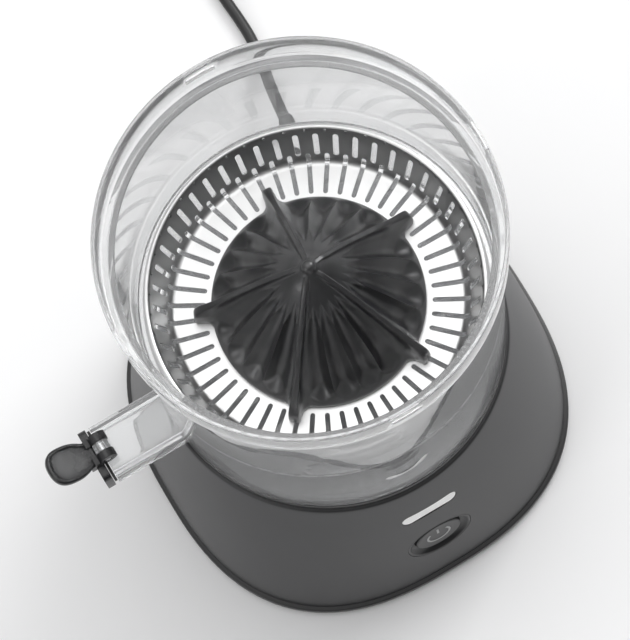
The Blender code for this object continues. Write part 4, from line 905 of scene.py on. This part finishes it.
def build_strainer():
    """Pressed basket: one profile swept round, its columns bent to the slots' edges.
    The profile is floor, corner and wall, stretched out and cut at every slot's rows."""
    bent = rounded([(SLOT_IN_R - SLOT_START, FLOOR_Z, 0), (FLOOR_R, FLOOR_Z, CORNER_R),
                    (*LIP, 0)], 10, False)
    run = np.concatenate([[0.0], np.cumsum(np.linalg.norm(np.diff(bent, axis=0), axis=1))])
    turn = FLOOR_R - SLOT_IN_R + SLOT_START
    floor_span = (SLOT_START, turn + 3.4)
    wall_span = (turn + 2.6, turn + 15.6)
    stops = np.concatenate([slot_rows(*floor_span, FLOOR_SLOT), slot_rows(*wall_span, WALL_SLOT),
                            np.linspace(turn - 3.0, turn + 2.0, 9), [run[-1] - 1.4]])
    stops = np.unique(np.round(stops, 2))
    stops = stops[np.concatenate([[True], np.diff(stops) > 0.05])]
    sheet = np.column_stack([np.interp(stops, run, bent[:, 0]), np.interp(stops, run, bent[:, 1])])
    middle_r = np.array([9.0, 9.5, 13, 20, 28, 35])
    floor = np.column_stack([middle_r, np.full(len(middle_r), FLOOR_Z)])
    roll = np.radians(np.linspace(154.0, 6.7, 13))
    rim = ROLL_AT + ROLL_R * np.stack([np.cos(roll), np.sin(roll)], axis=-1)
    skirt = np.array([(61.25, 58.4), (61.47, 56.7), (61.7, 54.95)])
    line = np.concatenate([floor, sheet, rim, skirt])
    tangent = np.gradient(line, axis=0)
    tangent /= np.linalg.norm(tangent, axis=1, keepdims=True)
    back = line + np.column_stack([tangent[:, 1], -tangent[:, 0]]) * SHEET

    pitch = TAU / SLOTS
    radius = line[:, 0]
    reach = np.full(len(line), -1.0)
    reach[len(floor):len(floor) + len(stops)] = stops
    halves = []
    for (start, end), width in ((floor_span, FLOOR_SLOT), (wall_span, WALL_SLOT)):
        inside = (reach > start - 0.03) & (reach < end + 0.03)
        halves.append(np.where(inside, slot_half(reach, start, end, width), 0.2 * width))
    near = np.clip(halves[0] / radius / pitch, 0.0, 0.2)
    far = 0.5 - np.clip(halves[1] / radius / pitch, 0.0, 0.2)
    middle = (near + far) / 2
    zero = np.zeros(len(line))
    fractions = np.stack([zero, near, middle, far, zero + 0.5, 1 - far, 1 - middle, 1 - near],
                         axis=-1)
    angle = (np.arange(SLOTS)[None, :, None] + fractions[:, None, :]) * pitch + SLOT_PHASE
    angle = angle.reshape(len(line), -1)
    grids = []
    for r, z in (line.T, back.T):
        level = np.broadcast_to(z[:, None], angle.shape)
        grids.append(np.stack([r[:, None] * np.cos(angle), r[:, None] * np.sin(angle),
                               level + BOWL_Z], axis=-1) * MM)
    kept = np.ones((len(line) - 1, angle.shape[1]), bool)
    column = np.arange(angle.shape[1]) % 8
    between = (reach[:-1] + reach[1:]) / 2
    in_floor = (reach[:-1] >= 0) & (between > floor_span[0]) & (between < floor_span[1])
    in_wall = (reach[1:] >= 0) & (between > wall_span[0]) & (between < wall_span[1])
    kept[in_floor[:, None] & ((column == 0) | (column == 7))] = False
    kept[in_wall[:, None] & ((column == 3) | (column == 4))] = False
    obj = sheet_shell("strainer_basket", grids[0], grids[1], kept)
    return finish_piece(obj, STEEL, "strainer", ["strainer"], 40)


build_strainer()

# ---- reamer ----
REAMER_Z = edge("reamer", LOW, Z)
REAMER_H = round(edge("reamer", HIGH, Z) - REAMER_Z, 2)
FINS = 5
FIN_PHASE = math.radians(84.5)
FLUTES = 4


def facing_ring(points):
    """The directions in which the points of a ring lie from the axis."""
    bearing = np.arctan2(points[:, 1], points[:, 0])
    return np.stack([np.cos(bearing), np.sin(bearing)], axis=-1)


def build_reamer():
    """Reamer as rings of radius against height: a domed cone, less round-bottomed flutes
    that close at both ends, plus five blades that fillet into it; hollow underneath."""
    z = np.concatenate([[0.0, 0.35, 1.2, 2.2], np.linspace(3.0, 46.0, 58), [47.2, 48.2]])
    body = np.interp(z, [0, 0.35, 2.2, 7, 16, 26, 36, 44, 48.2],
                     [38.1, 38.4, 38.4, 35.9, 30.9, 24.0, 16.2, 8.6, 3.9])
    crest = np.interp(z, [0, 0.4, 4, 8, 10, 12, 14, 16, 26, 36, 44, 48.2],
                      [44.2, 44.7, 44.8, 44.3, 43.2, 41.6, 39.7, 37.7, 29.3, 20.0, 11.3, 5.5])
    for _ in range(2):
        body[4:-1] = (body[3:-2] + body[4:-1] + body[5:]) / 3
        crest[4:-1] = (crest[3:-2] + crest[4:-1] + crest[5:]) / 3
    foot = np.interp(z, [0, 7, 12, 18, 30, 48.2], [4.6, 4.2, 3.4, 2.6, 2.0, 1.3])
    foot = np.minimum(foot, body * 0.42)
    blade = np.interp(z, [0, 8, 13, 18, 40, 48.2], [2.2, 2.0, 1.5, 1.15, 0.95, 0.85])
    shape = np.sqrt(smoothstep((z - 4.0) / 4.0)) * smoothstep((41.5 - z) / 10) ** 0.7
    depth = 0.10 * body + 0.5

    sector = TAU / FINS
    share = np.array([0.0, 0.08, 0.22, 0.42, 0.7, 0.88, 0.965, 0.995, 1.0])
    flare = np.array([1.0, 0.6, 0.24, 0.05, 0.0, 0.0, 0.0, 0.0, 0.0])
    taper = np.array([1.0, 1.0, 1.0, 1.0, 0.97, 0.94, 0.82, 0.5, 0.0])
    u = np.linspace(0, 1, 14 * FLUTES + 1)[1:-1]
    flute = np.abs(np.sin(math.pi * FLUTES * u))
    rings = []
    for k in range(FINS):
        middle = FIN_PHASE + sector * k
        out = np.array([math.cos(middle), math.sin(middle)])
        side = np.array([-math.sin(middle), math.cos(middle)])
        root = np.sqrt(np.maximum(body ** 2 - foot ** 2, 0.1))
        for sign, order in ((-1, range(len(share))), (1, range(len(share) - 2, -1, -1))):
            for n in order:
                radial = root + (crest - root) * share[n]
                width = taper[n] * (blade + (foot - blade) * flare[n])
                rings.append(radial[:, None] * out + sign * width[:, None] * side)
        edge = np.arcsin(foot / body)
        angle = middle + edge[:, None] + (sector - 2 * edge)[:, None] * u[None]
        cut = np.maximum(0.0, shape[:, None] - 1 + flute[None])
        r = body[:, None] - depth[:, None] * cut
        sweep = np.stack([r * np.cos(angle), r * np.sin(angle)], axis=-1)
        rings.extend(np.moveaxis(sweep, 1, 0))
    plan = np.stack(rings, axis=1)
    level = np.broadcast_to(z[:, None, None], plan.shape[:2] + (1,))
    outer = np.concatenate([plan, level], axis=-1)[::-1]
    ring = facing_ring(outer[0])
    knob = [(0.0, REAMER_H), (1.0, REAMER_H - 0.1), (1.8, REAMER_H - 0.55), (2.3, REAMER_H - 1.3),
            (2.45, REAMER_H - 2.3), (2.7, REAMER_H - 3.1), (3.6, REAMER_H - 3.5)]
    base_ring = facing_ring(outer[-1])
    hollow = [(35.4, 0.0), (35.0, 0.6), (30.2, 9.0), (23.6, 19.0), (16.6, 27.0), (12.6, 32.0),
              (9.4, 33.0), (9.3, 0.0), (6.9, 0.0), (6.9, 32.0), (0.0, 32.0)]
    parts = [np.column_stack([ring * r, np.full(len(ring), h)])[None] for r, h in knob]
    parts.append(outer)
    parts += [np.column_stack([base_ring * r, np.full(len(ring), h)])[None] for r, h in hollow]
    points = np.concatenate(parts) + (0, 0, REAMER_Z)
    obj = lofted("reamer_cone", points * MM, 1e-6)
    return finish_piece(obj, CHARCOAL, "reamer", ["reamer"], 50)


build_reamer()

# ---- finishes of the pieces kept from the frame ----
def numbered(name, count):
    """The names of a repeated node."""
    return [f"{name}_{k}" for k in range(1, count + 1)]


KEPT = {
    BRIGHT_STEEL: [*numbered("base_screw", 4), *numbered("case_screw", 3),
                   *numbered("deck_screw", 4), *numbered("motor_screw", 2),
                   *numbered("pillar", 4), "drive_shaft", "drive_socket", "flap_pin",
                   "idler_pin"],
    RUBBER: [*numbered("foot", 4), "shaft_seal", "flap_seal"],
    BRASS: ["upper_bush", "lower_bush", "motor_bush_top", "motor_bush_bottom", "motor_pinion",
            *numbered("plug_prong", 2)],
    IRON: ["motor_can", *numbered("motor_magnet", 2), "armature"],
    BLACK: ["gear_case", "motor_end_cap", "switch"],
    GEAR_WHITE: ["idler_gear", "output_gear"],
    BOARD_GREEN: ["control_board"],
    LENS_WHITE: ["indicator_led"],
}
for material, names in KEPT.items():
    for name in names:
        for slot in NODES[name].material_slots:
            slot.material = material

# ---- floor and light ----
FLOOR_HALF, FLOOR_DROP = 6.0, 0.0001            # the floor lies just under the feet


def build_floor():
    """A wide pale sheet with faint clouds."""
    finish = Finish("studio_floor")
    cloud = finish.noise(3.0, 2.0)
    finish.put(finish.shader, "Base Color",
               finish.tint(cloud, (0.86, 0.86, 0.865), (0.89, 0.89, 0.895)))
    finish.put(finish.shader, "Roughness", 0.7 + cloud * 0.1)
    corners = [(x * FLOOR_HALF, y * FLOOR_HALF, -FLOOR_DROP)
               for x, y in ((-1, -1), (1, -1), (1, 1), (-1, 1))]
    ground = new_object("floor", corners, [[0, 1, 2, 3]])
    ground.data.materials.append(finish.material)


LIGHT_AIM = Vector((0, 0, 0.08))
WORLD_BRIGHT_SIDE = (0.05, 0.60, 0.80)
WORLD_RANGE = (-0.10, 0.95, 0.06, 1.0)          # facing from and to, brightness from and to
WORLD_STRENGTH = 0.98


def soft_light(name, at, size, power):
    """A square soft box that faces the object."""
    data = bpy.data.lights.new(name, "AREA")
    data.shape = "SQUARE"
    data.size = size
    data.energy = power
    obj = bpy.data.objects.new(name, data)
    obj.location = at
    obj.rotation_euler = (LIGHT_AIM - Vector(at)).to_track_quat("-Z", "Y").to_euler()
    bpy.context.collection.objects.link(obj)


def build_world():
    """A soft surround, bright above and behind and darker towards the front."""
    world = bpy.data.worlds.new("studio")
    bpy.context.scene.world = world
    world.use_nodes = True
    nodes, links = world.node_tree.nodes, world.node_tree.links
    direction = nodes.new("ShaderNodeTexCoord")
    facing = nodes.new("ShaderNodeVectorMath")
    facing.operation = "DOT_PRODUCT"
    facing.inputs[1].default_value = WORLD_BRIGHT_SIDE
    shade = nodes.new("ShaderNodeMapRange")
    shade.interpolation_type = "SMOOTHSTEP"
    for socket, value in zip(shade.inputs[1:5], WORLD_RANGE):
        socket.default_value = value
    backdrop = nodes["Background"]
    links.new(direction.outputs["Generated"], facing.inputs[0])
    links.new(facing.outputs["Value"], shade.inputs["Value"])
    links.new(shade.outputs["Result"], backdrop.inputs["Color"])
    backdrop.inputs["Strength"].default_value = WORLD_STRENGTH


build_floor()
soft_light("overhead_box", (0.05, 0.5, 2.3), 1.8, 11.5)
soft_light("key_box", (1.5, 0.55, 1.3), 1.0, 20.0)
soft_light("side_box", (-1.5, -0.5, 1.0), 0.8, 6.0)
build_world()
bpy.context.scene.view_settings.view_transform = "Standard"
